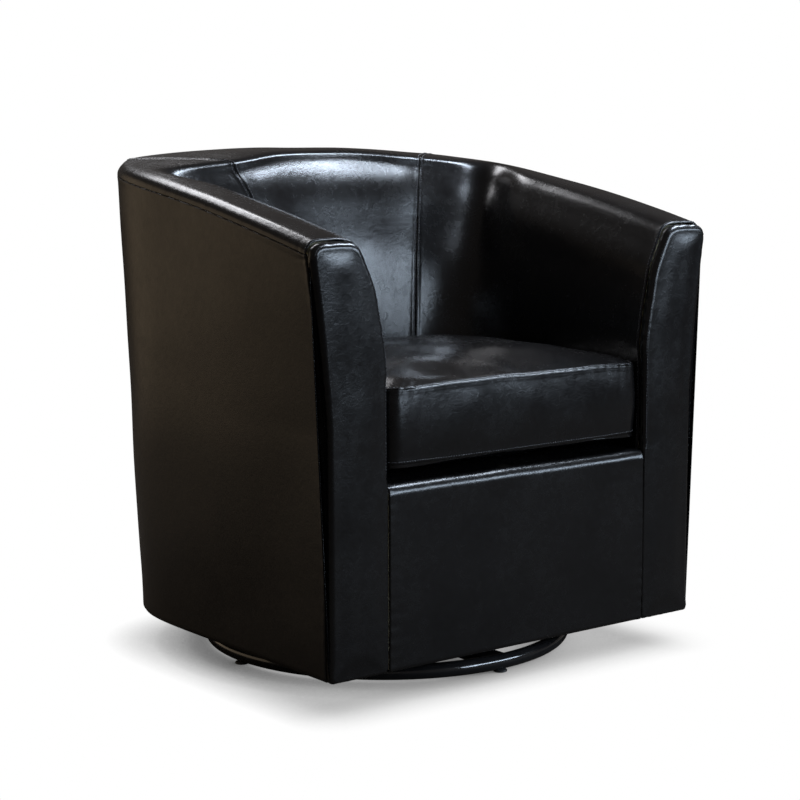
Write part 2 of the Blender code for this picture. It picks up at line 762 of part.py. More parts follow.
def cushion_outline(inset):
    """Closed plan of the cushion: straight front with round corners, straight sides, round back."""
    half = INNER_HALF_WIDTH - CUSHION_SIDE_GAP - inset
    front = FRONT_Y + CUSHION_FRONT_INSET + inset
    corner = CUSHION_CORNER - inset
    left = [(-half, y) for y in np.linspace(PIVOT_Y, front + corner, 4)[1:-1]]
    for a in np.linspace(math.pi, 1.5 * math.pi, 4):
        left.append((-half + corner + corner * math.cos(a), front + corner + corner * math.sin(a)))
    across_front = [(x, front) for x in np.linspace(-half + corner, half - corner, 7)[1:-1]]
    right = [(-x, y) for x, y in left[::-1]]
    back = []
    for a in np.linspace(0.0, math.pi, 17):
        station = Station(angle=a)
        radius = station.inner(CUSHION_LOW_SEAM) - CUSHION_SIDE_GAP - inset
        back.append((radius * math.cos(a), PIVOT_Y + radius * math.sin(a)))
    return np.array(left + across_front + right + back)


CROWN_STEPS = (1.0, 0.955, 0.86, 0.68, 0.44, 0.18)


def cushion_body(inset, bulge):
    """Stacked rings: centre of the belly, out to the low seam, up the bulged side, and in over the crown."""
    plan = cushion_outline(inset)
    middle = np.array([0.0, (plan[:, 1].min() + plan[:, 1].max()) / 2])
    low = CUSHION_LOW_SEAM + inset * 0.5
    high = CUSHION_TOP_SEAM - inset * 0.5

    def ring(part, z):
        return [(x, y, z) for x, y in middle + (plan - middle) * part]

    def swell(part):
        return (1 - part ** 3.2) ** 0.8

    rings = []
    for part in CROWN_STEPS[::-1]:
        rings.append(ring(part, low - (CUSHION_BELLY - inset * 0.5) * swell(part)))
    for up in (0.22, 0.5, 0.78):
        scale = 1 + bulge * math.sin(math.pi * up) / 0.2
        rings.append(ring(scale, low + (high - low) * up))
    for part in CROWN_STEPS:
        rings.append(ring(part, high + (CUSHION_CROWN - inset * 0.5) * swell(part)))
    return loft(rings)


def make_cushion():
    cover = solid("seat_cushion_cover", "leather", [cushion_body(0.0, CUSHION_BULGE)], 60)
    slot = zip_box(ZIP_SLOT_DEPTH, ZIP_HALF_HEIGHT, ZIP_HALF_WIDTH)
    cut(cover, [cushion_body(CUSHION_WALL, CUSHION_BULGE), slot])
    solid("seat_cushion_foam", "foam", [cushion_body(CORE_INSET, CUSHION_BULGE)], 60)
    zip_strip = solid("seat_cushion_zip", "black_plastic",
                      [zip_box(ZIP_DEPTH, ZIP_HALF_HEIGHT - GAP, ZIP_HALF_WIDTH - GAP)])
    behind = zip_back_y() + ZIP_SUNK
    cut(zip_strip, [box((-2 * ZIP_HALF_WIDTH, behind, CUSHION_LOW_SEAM),
                        (2 * ZIP_HALF_WIDTH, behind + 2 * CUTTER_OVER, CUSHION_TOP_SEAM))])


def zip_back_y():
    return max(y for _, y in cushion_outline(0.0))


def zip_box(depth, half_height, half_width):
    back = zip_back_y()
    middle = (CUSHION_LOW_SEAM + CUSHION_TOP_SEAM) / 2
    return box((-half_width, back - depth, middle - half_height),
               (half_width, back + CUTTER_OVER, middle + half_height))


# Underside and swivel base

def make_dust_cover():
    outline = []
    front = FRONT_Y + SKIN + GAP + DUST_FRONT_INSET
    half = BASE_HALF_WIDTH - DUST_INSET
    outline.append((-half, front))
    for a in np.linspace(math.pi, 0.0, 21):
        station = Station(angle=a)
        radius = station.base - DUST_INSET
        outline.append((radius * math.cos(a), PIVOT_Y + radius * math.sin(a)))
    outline.append((half, front))
    cover = solid("dust_cover", "black_cloth", [prism(outline, DUST_TOP - DUST_THICK, DUST_TOP)])
    low, high = DUST_TOP - CUTTER_OVER, DUST_TOP + CUTTER_OVER
    cut(cover, [rod(low, high, SCREW_RADIUS + GAP, 8, place) for place in screw_places()])


def screw_places():
    return [(x, y) for x in (-SCREW_X, SCREW_X) for y in (-SCREW_Y, SCREW_Y)]


def headed(low, shank_high, radius, head_radius, head_height, place):
    """A screw standing on its head: head below, shank up."""
    turns = [(0.0, low), (head_radius, low), (head_radius, low + head_height), (radius, low + head_height),
             (radius, shank_high), (0.0, shank_high)]
    return turned(turns, 10, place)


def turned(profile, steps, place=(0.0, 0.0)):
    """A turned solid whose profile starts and ends on its axis; each end is one point."""
    turns = np.arange(steps) * 2 * math.pi / steps
    rings = [[(place[0] + r * math.cos(a), place[1] + r * math.sin(a), z) for a in turns]
             for r, z in profile[1:-1]]
    points = [point for ring in rings for point in ring]
    faces = []
    for k in range(len(rings) - 1):
        for i in range(steps):
            j = (i + 1) % steps
            faces.append((k * steps + i, k * steps + j, (k + 1) * steps + j, (k + 1) * steps + i))
    faces.append(tuple(range(steps))[::-1])
    faces.append(tuple((len(rings) - 1) * steps + i for i in range(steps)))
    return points, faces


def make_ring():
    centre = RING_OUTER - RING_TUBE
    profile = [(centre + RING_TUBE * math.cos(a), RING_Z + RING_TUBE * math.sin(a))
               for a in np.arange(10) * 2 * math.pi / 10]
    solid("base_ring", "black_steel", [lathe(profile, RING_STEPS)], 40)
    places = (("front", (0, -centre)), ("right", (centre, 0)), ("back", (0, centre)), ("left", (-centre, 0)))
    for name, place in places:
        solid(f"floor_glide_{name}", "black_plastic", [rod(0.0, GLIDE_HEIGHT, GLIDE_RADIUS, 14, place)])


def make_cross():
    half = CROSS_WIDTH / 2
    clear = (RING_OUTER - 2 * RING_TUBE) * math.cos(math.pi / RING_STEPS)
    reach = math.sqrt(clear ** 2 - half ** 2) - GAP
    outline = []
    for k in range(4):
        a = k * math.pi / 2
        turn = np.array([[math.cos(a), -math.sin(a)], [math.sin(a), math.cos(a)]])
        for x, y in ((half, -half), (reach, -half), (reach, half)):
            outline.append(tuple(turn @ (x, y)))
    cross = solid("base_cross", "black_steel", [prism(outline, CROSS_LOW, CROSS_LOW + CROSS_HEIGHT)])
    low, high = CROSS_LOW - CUTTER_OVER, LOWER_PLATE_LOW
    cut(cross, [rod(low, high, BOLT_RADIUS + GAP, 10, place) for place in bolt_places()])


def bolt_places():
    return [(BOLT_CIRCLE * math.cos(a), BOLT_CIRCLE * math.sin(a)) for a in np.arange(4) * math.pi / 2]


def groove(face, bottom, side):
    """Profile of the ball race from its outer edge to its inner one, sunk into a plate's face."""
    return [(RACE_RADIUS + RACE_HALF, face), (RACE_RADIUS + GROOVE_HALF, side), (RACE_RADIUS, bottom),
            (RACE_RADIUS - GROOVE_HALF, side), (RACE_RADIUS - RACE_HALF, face)]


def make_swivel():
    low, top = LOWER_PLATE_LOW, LOWER_PLATE_LOW + PLATE_THICK
    rise = BALL_Z - BALL_RADIUS - BALL_CLEAR
    lower = [(PLATE_HOLE, low), (PLATE_RADIUS, low), (PLATE_RADIUS, top)]
    lower += groove(top, rise, rise + GROOVE_SIDE) + [(PLATE_HOLE, top)]
    plate = solid("swivel_lower_plate", "zinc_steel", [lathe(lower, 40)], 40)
    cut(plate, [rod(low - CUTTER_OVER, top + CUTTER_OVER, BOLT_RADIUS + GAP, 10, place)
                for place in bolt_places()])
    high, under = UPPER_PLATE_TOP, UPPER_PLATE_TOP - PLATE_THICK
    drop = BALL_Z + BALL_RADIUS + BALL_CLEAR
    upper = [(PLATE_HOLE, high), (PLATE_RADIUS, high), (PLATE_RADIUS, under)]
    upper += groove(under, drop, drop - GROOVE_SIDE) + [(PLATE_HOLE, under)]
    plate = solid("swivel_upper_plate", "zinc_steel", [lathe(upper[::-1], 40)], 40)
    cut(plate, [rod(under - CUTTER_OVER, high + CUTTER_OVER, SCREW_RADIUS + GAP, 10, place)
                for place in screw_places()])


def make_balls():
    """A flat cage ring with its captive balls, as one piece."""
    spheres = []
    for k in range(BALL_COUNT):
        a = k * 2 * math.pi / BALL_COUNT
        shape = bmesh.new()
        bmesh.ops.create_icosphere(shape, subdivisions=1, radius=BALL_RADIUS)
        points = [(v.co.x + RACE_RADIUS * math.cos(a), v.co.y + RACE_RADIUS * math.sin(a), v.co.z + BALL_Z)
                  for v in shape.verts]
        faces = [tuple(v.index for v in f.verts) for f in shape.faces]
        shape.free()
        spheres.append((points, faces))
    inner, outer = RACE_RADIUS - CAGE_HALF, RACE_RADIUS + CAGE_HALF
    low, high = BALL_Z - CAGE_THICK / 2, BALL_Z + CAGE_THICK / 2
    ring = lathe([(inner, low), (outer, low), (outer, high), (inner, high)], 48)
    cage = solid("swivel_ball_ring", "zinc_steel", [ring], 40)
    join(cage, "balls", spheres)


def make_fasteners():
    top = LOWER_PLATE_LOW + PLATE_THICK + GAP
    for name, place in zip(("right", "back", "left", "front"), bolt_places()):
        nut = [(0, CROSS_LOW - NUT_HEIGHT), (NUT_RADIUS, CROSS_LOW - NUT_HEIGHT),
               (NUT_RADIUS, CROSS_LOW - GAP), (BOLT_RADIUS, CROSS_LOW - GAP)]
        head = [(BOLT_RADIUS, top), (HEAD_RADIUS, top), (HEAD_RADIUS, top + HEAD_HEIGHT),
                (0, top + HEAD_HEIGHT)]
        solid(f"base_bolt_{name}", "zinc_steel", [turned(nut + head, 10, place)], 40)
    under = UPPER_PLATE_TOP - PLATE_THICK - GAP
    names = ("front_left", "back_left", "front_right", "back_right")
    for name, place in zip(names, screw_places()):
        solid(f"swivel_screw_{name}", "zinc_steel",
              [headed(under - HEAD_HEIGHT, FRAME_BOTTOM + SCREW_LENGTH - 0.001, SCREW_RADIUS, HEAD_RADIUS,
                      HEAD_HEIGHT, place)], 40)


def build():
    clear_scene()
    make_covers()
    make_foam()
    make_facings()
    make_front_rail()
    make_rails()
    make_posts()
    make_seat_rails()
    make_corner_blocks()
    make_cross_rails()
    make_deck()
    make_springs()
    make_cushion()
    make_dust_cover()
    make_ring()
    make_cross()
    make_swivel()
    make_balls()
    make_fasteners()


build()
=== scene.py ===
"""Looks of the swivel club chair, made piece by piece in the order in which an upholsterer builds one."""

import math

import bmesh
import bpy
import numpy as np
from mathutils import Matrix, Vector
from mathutils.geometry import delaunay_2d_cdt


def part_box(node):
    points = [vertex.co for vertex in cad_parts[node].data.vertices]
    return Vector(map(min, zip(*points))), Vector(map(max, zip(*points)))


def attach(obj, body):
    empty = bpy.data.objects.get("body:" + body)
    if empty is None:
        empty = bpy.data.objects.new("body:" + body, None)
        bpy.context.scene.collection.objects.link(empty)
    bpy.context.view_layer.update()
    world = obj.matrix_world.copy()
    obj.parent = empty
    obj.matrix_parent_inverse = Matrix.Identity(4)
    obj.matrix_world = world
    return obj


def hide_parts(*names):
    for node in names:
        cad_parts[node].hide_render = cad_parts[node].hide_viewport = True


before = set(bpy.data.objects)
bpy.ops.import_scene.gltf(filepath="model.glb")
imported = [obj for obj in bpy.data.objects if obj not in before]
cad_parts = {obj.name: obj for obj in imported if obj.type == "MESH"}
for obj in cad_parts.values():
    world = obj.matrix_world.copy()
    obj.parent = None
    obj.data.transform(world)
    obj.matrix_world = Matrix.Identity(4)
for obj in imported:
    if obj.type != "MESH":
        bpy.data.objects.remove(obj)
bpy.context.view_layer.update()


# The room.  A pale floor that runs to a white background; a long softbox on the right of the camera with
# a short one below its left end, a strip overhead, a box high behind and a weak warm card at the left,
# as a furniture photographer lights black leather.

studio = bpy.context.scene
camera_data = bpy.data.cameras.new("camera")
camera = bpy.data.objects.new("camera", camera_data)
studio.collection.objects.link(camera)
camera.location = (-1.775, -2.3204, 0.7621)
camera.rotation_euler = (math.radians(90 - 8.519), 0.0, math.radians(-38.57))
camera_data.lens = 92.64
camera_data.sensor_width = 36.0
camera_data.shift_x = -0.0346
camera_data.shift_y = 0.0176
camera_data.clip_end = 80.0
studio.camera = camera
studio.view_settings.view_transform = "Standard"


def softbox(name, place, aim, width, height, radiance, colour):
    """A rectangular lamp at a place, turned to face a point, that gives an even radiance."""
    data = bpy.data.lights.new(name, "AREA")
    data.shape = "RECTANGLE"
    data.size = width
    data.size_y = height
    data.color = colour
    data.energy = radiance * math.pi * width * height
    lamp = bpy.data.objects.new(name, data)
    studio.collection.objects.link(lamp)
    lamp.location = place
    toward = np.array(aim) - np.array(place)
    turn = math.atan2(-toward[0], toward[1])
    tilt = math.acos(-toward[2] / np.linalg.norm(toward))
    lamp.rotation_euler = (tilt, 0.0, turn)
    lamp.visible_camera = False
    return lamp


softbox("low_softbox", (1.73, -2.70, 1.20), (0.0, 0.1, 0.80), 2.1, 0.46, 17.0, (0.69, 0.83, 1.0))
softbox("fill_box", (0.62, -2.86, 0.78), (0.08, 0.1, 0.48), 0.5, 0.44, 14.0, (0.69, 0.83, 1.0))
softbox("overhead_box", (1.44, -0.42, 2.35), (0.76, 0.44, 0.6), 1.7, 0.34, 42.0, (0.74, 0.85, 1.0))
softbox("rear_box", (0.05, 2.2, 2.75), (0.1, 0.0, 0.6), 1.9, 0.7, 10.0, (0.96, 0.96, 1.0))
softbox("warm_card", (-1.45, 1.55, 0.56), (-0.2, 0.0, 0.4), 2.2, 1.3, 0.42, (1.0, 0.76, 0.50))


def plug(tree, node, sockets):
    """Gives a node's sockets, by name or number, a value or the output of another node."""
    for socket, value in sockets.items():
        if isinstance(value, bpy.types.NodeSocket):
            tree.links.new(value, node.inputs[socket])
        else:
            node.inputs[socket].default_value = value
    return node


def add_node(tree, kind, sockets=None, **settings):
    """A new shader node with its settings and what its sockets hold."""
    node = tree.nodes.new(f"ShaderNode{kind}")
    for setting, value in settings.items():
        setattr(node, setting, value)
    return plug(tree, node, sockets or {})


def new_material(name):
    """A node material, its tree and its surface shader."""
    material = bpy.data.materials.new(name)
    material.use_nodes = True
    return material, material.node_tree, material.node_tree.nodes["Principled BSDF"]


world = bpy.data.worlds.new("studio")
studio.world = world
world.use_nodes = True
world.node_tree.nodes.clear()
ray = add_node(world.node_tree, "LightPath")
ambient = add_node(world.node_tree, "Background", {"Color": (0.95, 0.97, 1.0, 1.0), "Strength": 0.20})
dark_studio = add_node(world.node_tree, "Background", {"Color": (1.0, 0.88, 0.80, 1.0), "Strength": 0.080})
white = add_node(world.node_tree, "Background", {"Color": (1.0, 1.0, 1.0, 1.0), "Strength": 1.0})
for_gloss = add_node(world.node_tree, "MixShader", {
    "Fac": ray.outputs["Is Glossy Ray"], 1: ambient.outputs[0], 2: dark_studio.outputs[0]})
for_camera = add_node(world.node_tree, "MixShader", {
    "Fac": ray.outputs["Is Camera Ray"], 1: for_gloss.outputs[0], 2: white.outputs[0]})
add_node(world.node_tree, "OutputWorld", {"Surface": for_camera.outputs[0]})

floor_half = 14.0
floor_mesh = bpy.data.meshes.new("floor")
floor_mesh.from_pydata([(floor_half * x, floor_half * y, 0) for x, y in ((-1, -1), (1, -1), (1, 1), (-1, 1))],
                       [], [(0, 1, 2, 3)])
floor = bpy.data.objects.new("floor", floor_mesh)
studio.collection.objects.link(floor)
floor_paint, floor_tree, floor_shader = new_material("floor_paint")
plug(floor_tree, floor_shader, {"Base Color": (0.075, 0.062, 0.050, 1.0), "Roughness": 0.9,
                                "Specular IOR Level": 0.1})
# To the camera the floor is a glow that ambient occlusion dims under and beside the chair, a painted shadow.
# The occlusion is taken round a normal tilted toward the lamps. Other rays see the floor's dark warm colour.
toward_light = add_node(floor_tree, "CombineXYZ", {"X": 0.62, "Y": -0.22, "Z": 0.75})
floor_painted_shadow = add_node(floor_tree, "AmbientOcclusion", {"Distance": 0.075, "Normal": toward_light.outputs[0]},
                       samples=12)
floor_fall = add_node(floor_tree, "Math", {0: floor_painted_shadow.outputs["AO"], 1: 1.25}, operation="POWER")
floor_glow = add_node(floor_tree, "Emission", {"Strength": floor_fall.outputs[0]})
floor_ray = add_node(floor_tree, "LightPath")
floor_mix = add_node(floor_tree, "MixShader", {
    "Fac": floor_ray.outputs["Is Camera Ray"], 1: floor_shader.outputs[0], 2: floor_glow.outputs[0]})
plug(floor_tree, floor_tree.nodes["Material Output"], {"Surface": floor_mix.outputs[0]})
floor_mesh.materials.append(floor_paint)


# The swivel base.  A ring of bent steel tube with a flat cross welded inside it, coated gloss black,
# stands on four moulded glides.

def points_of(*coordinates):
    """Points from their two or three coordinates, each a number or a grid of numbers."""
    return np.stack(np.broadcast_arrays(*coordinates), -1)


def round_steps(count):
    """Angles of equal steps round a circle."""
    return np.arange(count) * 2 * math.pi / count


def mesh_of(name, points, faces):
    """A smooth-shaded mesh."""
    mesh = bpy.data.meshes.new(name)
    mesh.from_pydata(points.tolist(), [], faces)
    mesh.polygons.foreach_set("use_smooth", np.ones(len(mesh.polygons), bool))
    mesh.update()
    return mesh


def grid_mesh(name, points, core, wrap_u=False, wrap_v=False, caps=False):
    """Quads over a grid of points (rows, columns, 3), turned to face away from core, which is a point or a
    grid of points inside the piece; wrap joins the last row or column to the first, and caps close the
    first and last rows with one flat face each."""
    rows, columns = points.shape[:2]
    i = np.arange(rows if wrap_u else rows - 1)[:, None]
    j = np.arange(columns if wrap_v else columns - 1)[None, :]
    i_next, j_next = (i + 1) % rows, (j + 1) % columns
    quads = points_of(i * columns + j, i_next * columns + j, i_next * columns + j_next, i * columns + j_next)
    quads = quads.reshape(-1, 4)
    flat = points.reshape(-1, 3)
    corners = flat[quads]
    square = np.cross(corners[:, 2] - corners[:, 0], corners[:, 3] - corners[:, 1])
    middle = np.broadcast_to(core, points.shape).reshape(-1, 3)[quads].mean(1)
    turned = ((corners.mean(1) - middle) * square).sum() < 0
    if turned:
        quads = quads[:, ::-1]
    faces = quads.tolist()
    if caps:
        first = list(range(columns))
        last = [(rows - 1) * columns + k for k in range(columns)]
        faces += [first[::-1], last] if turned else [first, last[::-1]]
    return mesh_of(name, flat, faces)


def fit_piece(mesh, material, body, slot, *nodes):
    """The mesh as a piece of the object: it has its finish, rides on a body and stands for the CAD nodes."""
    obj = bpy.data.objects.new(mesh.name, mesh)
    studio.collection.objects.link(obj)
    mesh.materials.clear()
    mesh.materials.append(material)
    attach(obj, body)
    if nodes:
        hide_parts(*nodes)
    return obj


def finish_of(name, dark, light, rough, metallic=0.0, scale=40.0, bump=0.0, bump_scale=300.0,
              stretch=(1, 1, 1)):
    """A finish whose colour wanders between two tones and whose roughness wanders between two values with
    a cloud pattern, over a finer bump; stretch lengthens both patterns along an axis."""
    material, tree, shader = new_material(name)
    place = add_node(tree, "TexCoord")
    mapping = add_node(tree, "Mapping", {"Scale": stretch, "Vector": place.outputs["Object"]})
    cloud = add_node(tree, "TexNoise", {"Scale": scale, "Detail": 4.0, "Vector": mapping.outputs["Vector"]})
    tone = add_node(tree, "Mix", {"A": (*dark, 1.0), "B": (*light, 1.0), "Factor": cloud.outputs["Fac"]},
                    data_type="RGBA")
    rub = add_node(tree, "MapRange", {"Value": cloud.outputs["Fac"], "From Min": 0.3, "From Max": 0.7,
                                      "To Min": rough[0], "To Max": rough[1]})
    plug(tree, shader, {"Metallic": metallic, "Base Color": tone.outputs["Result"],
                        "Roughness": rub.outputs["Result"]})
    if bump:
        fine = add_node(tree, "TexNoise", {"Scale": bump_scale, "Detail": 3.0,
                                           "Vector": mapping.outputs["Vector"]})
        relief = add_node(tree, "Bump", {"Strength": bump, "Distance": 0.0006, "Height": fine.outputs["Fac"]})
        plug(tree, shader, {"Normal": relief.outputs["Normal"]})
    return material


gloss_black = finish_of("gloss_black_coat", (0.010, 0.010, 0.011), (0.018, 0.017, 0.017), (0.10, 0.20),
                        scale=60.0, bump=0.06, bump_scale=500.0)
plug(gloss_black.node_tree, gloss_black.node_tree.nodes["Principled BSDF"],
     {"Coat Weight": 0.5, "Coat Roughness": 0.06})
matt_plastic = finish_of("matt_black_plastic", (0.016, 0.016, 0.016), (0.026, 0.026, 0.027), (0.42, 0.60),
                         scale=90.0, bump=0.10, bump_scale=900.0)

ring_radius = 0.2528
tube_radius = 0.0105
ring_height = 0.0138


def bent_round(name, radius, height, out, up, steps):
    """A closed section carried round a circle: out and up say how far its points lie from its middle."""
    turns = round_steps(steps)[:, None]
    grid = points_of((radius + out) * np.cos(turns), (radius + out) * np.sin(turns), height + up)
    line = points_of(radius * np.cos(turns), radius * np.sin(turns), height)
    return grid_mesh(name, grid, line, True, True)


tube_turns = round_steps(36)
tube_out, tube_up = tube_radius * np.cos(tube_turns), tube_radius * np.sin(tube_turns)
fit_piece(bent_round("ring_tube", ring_radius, ring_height, tube_out, tube_up, 160), gloss_black, "base",
          "gloss_black_steel", "base_ring")


def turned_mesh(name, profile, centre=(0.0, 0.0), steps=48):
    """A profile of (radius, height) turned about an upright line, each end closed by a flat face."""
    turns = round_steps(steps)
    radius, height = np.array(profile).T[:, :, None]
    grid = points_of(centre[0] + radius * np.cos(turns), centre[1] + radius * np.sin(turns), height)
    return grid_mesh(name, grid, np.array([*centre, height.mean()]), False, True, caps=True)


glide_profile = [(0.0086, 0.0), (0.0093, 0.0003), (0.0096, 0.0010), (0.0096, 0.0022), (0.0090, 0.0029),
                 (0.0072, 0.0036), (0.0050, 0.0040)]
for glide_name, glide_place in (("front", (0, -ring_radius)), ("right", (ring_radius, 0)),
                                ("back", (0, ring_radius)), ("left", (-ring_radius, 0))):
    fit_piece(turned_mesh(f"glide_{glide_name}", glide_profile, glide_place), matt_plastic, "base",
              "black_plastic", f"floor_glide_{glide_name}")


def eased(name, node, width, material, body, slot, segments=2, angle=30.0):
    """A copy of a CAD node with its doubles merged, its flat faces made whole and its edges rounded."""
    shape = bmesh.new()
    shape.from_mesh(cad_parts[node].data)
    bmesh.ops.remove_doubles(shape, verts=shape.verts, dist=0.00002)
    bmesh.ops.dissolve_limit(shape, angle_limit=math.radians(0.6), verts=shape.verts, edges=shape.edges)
    mesh = bpy.data.meshes.new(name)
    shape.to_mesh(mesh)
    shape.free()
    obj = fit_piece(mesh, material, body, slot, node)
    mesh.polygons.foreach_set("use_smooth", np.ones(len(mesh.polygons), bool))
    mesh.set_sharp_from_angle(angle=math.radians(angle))
    if width:
        rounding = obj.modifiers.new("rounded_edges", "BEVEL")
        rounding.width = width
        rounding.segments = segments
        rounding.limit_method = "ANGLE"
        rounding.angle_limit = math.radians(angle)
        rounding.harden_normals = False
    return obj


eased("cross_bars", "base_cross", 0.0012, gloss_black, "base", "gloss_black_steel")

bead_part = np.linspace(-0.115, 0.115, 26)
bead_taper = np.clip(8 * (1 - np.abs(bead_part) / 0.1151), 0.05, 1)
bead_size = (0.0026 * (1 + 0.16 * np.sin(bead_part * 260.0)) * bead_taper)[:, None, None]
bead_reach, bead_height, bead_upright = ring_radius - tube_radius * 0.86, 0.0192, np.array([0.0, 0.0, 0.8])
bead_sides = round_steps(12)[None, :, None]
for bar_end in range(4):
    turns = bar_end * math.pi / 2 + bead_part * 0.66
    bead_line = points_of(bead_reach * np.cos(turns), bead_reach * np.sin(turns), bead_height)[:, None, :]
    out = points_of(np.cos(turns), np.sin(turns), 0.0)[:, None, :]
    grid = bead_line + bead_size * (np.cos(bead_sides) * out + np.sin(bead_sides) * bead_upright)
    fit_piece(grid_mesh(f"weld_bead_{bar_end + 1}", grid, bead_line, False, True, caps=True),
              gloss_black, "base", "gloss_black_steel")


# The swivel.  Two pressed plates with a ball race between them: the lower one is bolted to the cross
# with four bolts and nuts, the upper one is screwed to the two flat rails of the frame.

zinc = finish_of("zinc_plate", (0.50, 0.50, 0.49), (0.68, 0.68, 0.66), (0.28, 0.46), 1.0, 120.0, 0.08, 700.0)
polished_balls = finish_of("polished_ball_steel", (0.60, 0.60, 0.60), (0.72, 0.72, 0.72), (0.08, 0.14), 1.0,
                           50.0)
eased("lower_swivel_plate", "swivel_lower_plate", 0.0004, zinc, "base", "zinc_steel", angle=40.0)
eased("upper_swivel_plate", "swivel_upper_plate", 0.0004, zinc, "chair", "zinc_steel", angle=40.0)

race_radius, ball_height, ball_radius, ball_count = 0.062, 0.03375, 0.0050, 12
ball_shape = bmesh.new()
bmesh.ops.create_uvsphere(ball_shape, u_segments=20, v_segments=12, radius=ball_radius)
ball_points = np.array([v.co for v in ball_shape.verts])
ball_faces = [tuple(v.index for v in f.verts) for f in ball_shape.faces]
ball_shape.free()
ball_turns = round_steps(ball_count)
ball_places = points_of(race_radius * np.cos(ball_turns), race_radius * np.sin(ball_turns), ball_height)
every_ball = (ball_places[:, None, :] + ball_points).reshape(-1, 3)
every_face = [tuple(k * len(ball_points) + v for v in face) for k in range(ball_count) for face in ball_faces]
fit_piece(mesh_of("caged_balls", every_ball, every_face), polished_balls, "ball_ring", "zinc_steel",
          "swivel_ball_ring")

cage_half_width, cage_half_thick, cage_squareness = 0.0072, 0.0006, 0.3
cage_turns = round_steps(12) + math.pi / 12
cage_up = cage_half_thick * (np.sign(np.sin(cage_turns)) * np.abs(np.sin(cage_turns)) ** cage_squareness)
cage_out = cage_half_width * np.cos(cage_turns)
fit_piece(bent_round("ball_cage", race_radius, ball_height, cage_out, cage_up, 144), zinc, "ball_ring",
          "zinc_steel")


def six_sided(name, low, high, radius, place):
    """A hexagonal head or nut with its two rims chamfered: six flats with a circle's edge above and below."""
    turns = round_steps(48)
    flat = radius * math.cos(math.pi / 6) / np.cos((turns + math.pi / 6) % (math.pi / 3) - math.pi / 6)
    rim = np.minimum(radius * 0.90, flat)
    chamfer = (high - low) * 0.14
    grid = np.stack([points_of(place[0] + r * np.cos(turns), place[1] + r * np.sin(turns), z)
                     for r, z in ((rim, low), (flat, low + chamfer), (flat, high - chamfer), (rim, high))])
    mesh = grid_mesh(name, grid, np.array([*place, (low + high) / 2]), False, True, caps=True)
    mesh.set_sharp_from_angle(angle=math.radians(25))
    return mesh


bolt_circle, bolt_radius = 0.040, 0.0030
bolt_head_radius, bolt_head_high, bolt_nut_high = 0.0058, 0.0028, 0.0039
for number, bolt_name in enumerate(("right", "back", "left", "front")):
    bolt_turn = number * math.pi / 2
    bolt_place = (bolt_circle * math.cos(bolt_turn), bolt_circle * math.sin(bolt_turn))
    low, high = (corner.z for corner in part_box(f"base_bolt_{bolt_name}"))
    shank = [(bolt_radius - 0.0004, low - 0.0012), (bolt_radius, low - 0.0008), (bolt_radius, high - 0.001)]
    fit_piece(turned_mesh(f"bolt_shank_{bolt_name}", shank, bolt_place, 24), zinc, "base", "zinc_steel",
              f"base_bolt_{bolt_name}")
    for part, part_low, part_high in (("head", high - bolt_head_high, high),
                                      ("nut", low, low + bolt_nut_high)):
        hexagon = six_sided(f"bolt_{part}_{bolt_name}", part_low, part_high, bolt_head_radius, bolt_place)
        fit_piece(hexagon, zinc, "base", "zinc_steel")

screw_core, thread_depth, thread_step = 0.0024, 0.0005, 0.0009
for screw_name in ("front_left", "back_left", "front_right", "back_right"):
    corner_low, corner_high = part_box(f"swivel_screw_{screw_name}")
    centre = ((corner_low.x + corner_high.x) / 2, (corner_low.y + corner_high.y) / 2)
    low, high = corner_low.z, corner_high.z
    profile = [(0.0003, low + 0.0004), (screw_core, low), (0.0044, low + 0.0006), (0.0056, low + 0.0017),
               (0.0058, low + 0.0026), (0.0058, low + 0.0028), (screw_core, low + 0.0029)]
    profile += [(screw_core - thread_depth * (k % 2), low + 0.0045 + thread_step * k) for k in range(18)]
    profile += [(0.0012, high - 0.0015), (0.0002, high)]
    fit_piece(turned_mesh(f"wood_screw_{screw_name}", profile, centre, 24), zinc, "chair", "zinc_steel",
              f"swivel_screw_{screw_name}")


# The frame.  Sawn hardwood rails and posts glued and screwed together, with two rails of moulded
# plywood bent round the back; every arris is slightly rounded by sanding.

def timber(name, dark, light, along, rings):
    """Wood: rings of darker late wood stretched far along one axis, with fine pores over them."""
    return finish_of(name, dark, light, (0.55, 0.75), 0.0, rings, 0.25, 260.0,
                     tuple(0.08 if axis == along else 1.0 for axis in range(3)))


timber_by_axis = [timber(f"hardwood_along_{axis}", (0.44, 0.29, 0.15), (0.72, 0.54, 0.34), number, 70.0)
                  for number, axis in enumerate("xyz")]
plywood = timber("bent_plywood", (0.55, 0.40, 0.24), (0.76, 0.61, 0.42), 2, 110.0)
for part in ("arm_top_rail_left", "arm_top_rail_right", "bottom_rail_left", "bottom_rail_right",
             "bottom_rail_front", "arm_post_left", "arm_post_right", "side_post_left", "side_post_right",
             "back_post_left", "back_post_middle", "back_post_right", "seat_rail_front", "seat_rail_back",
             "seat_rail_left", "seat_rail_right", "corner_block_left", "corner_block_right",
             "swivel_cross_rail_front", "swivel_cross_rail_back"):
    along = 2 if "post" in part else 1 if "rail" in part and part.endswith(("left", "right")) else 0
    eased(f"wood_{part}", part, 0.0012, timber_by_axis[along], "chair", "hardwood")
for part in ("back_top_rail", "bottom_rail_back"):
    eased(f"ply_{part}", part, 0.0008, plywood, "chair", "bent_plywood")


# Springs.  Five sinuous springs of 3.6 mm wire run from front to back in steel clip strips, tied
# together by two straight wires, under a fibre pad and a black deck cloth.

spring_steel = finish_of("drawn_spring_wire", (0.16, 0.16, 0.165), (0.30, 0.30, 0.31), (0.30, 0.46), 1.0,
                         150.0)
spring_low, spring_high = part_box("seat_springs")
spring_z = (spring_low.z + spring_high.z) / 2
wire_radius = 0.0018
spring_swing, spring_waves, spring_pitch, bend_squareness = 0.022, 7, 0.078, 1.7


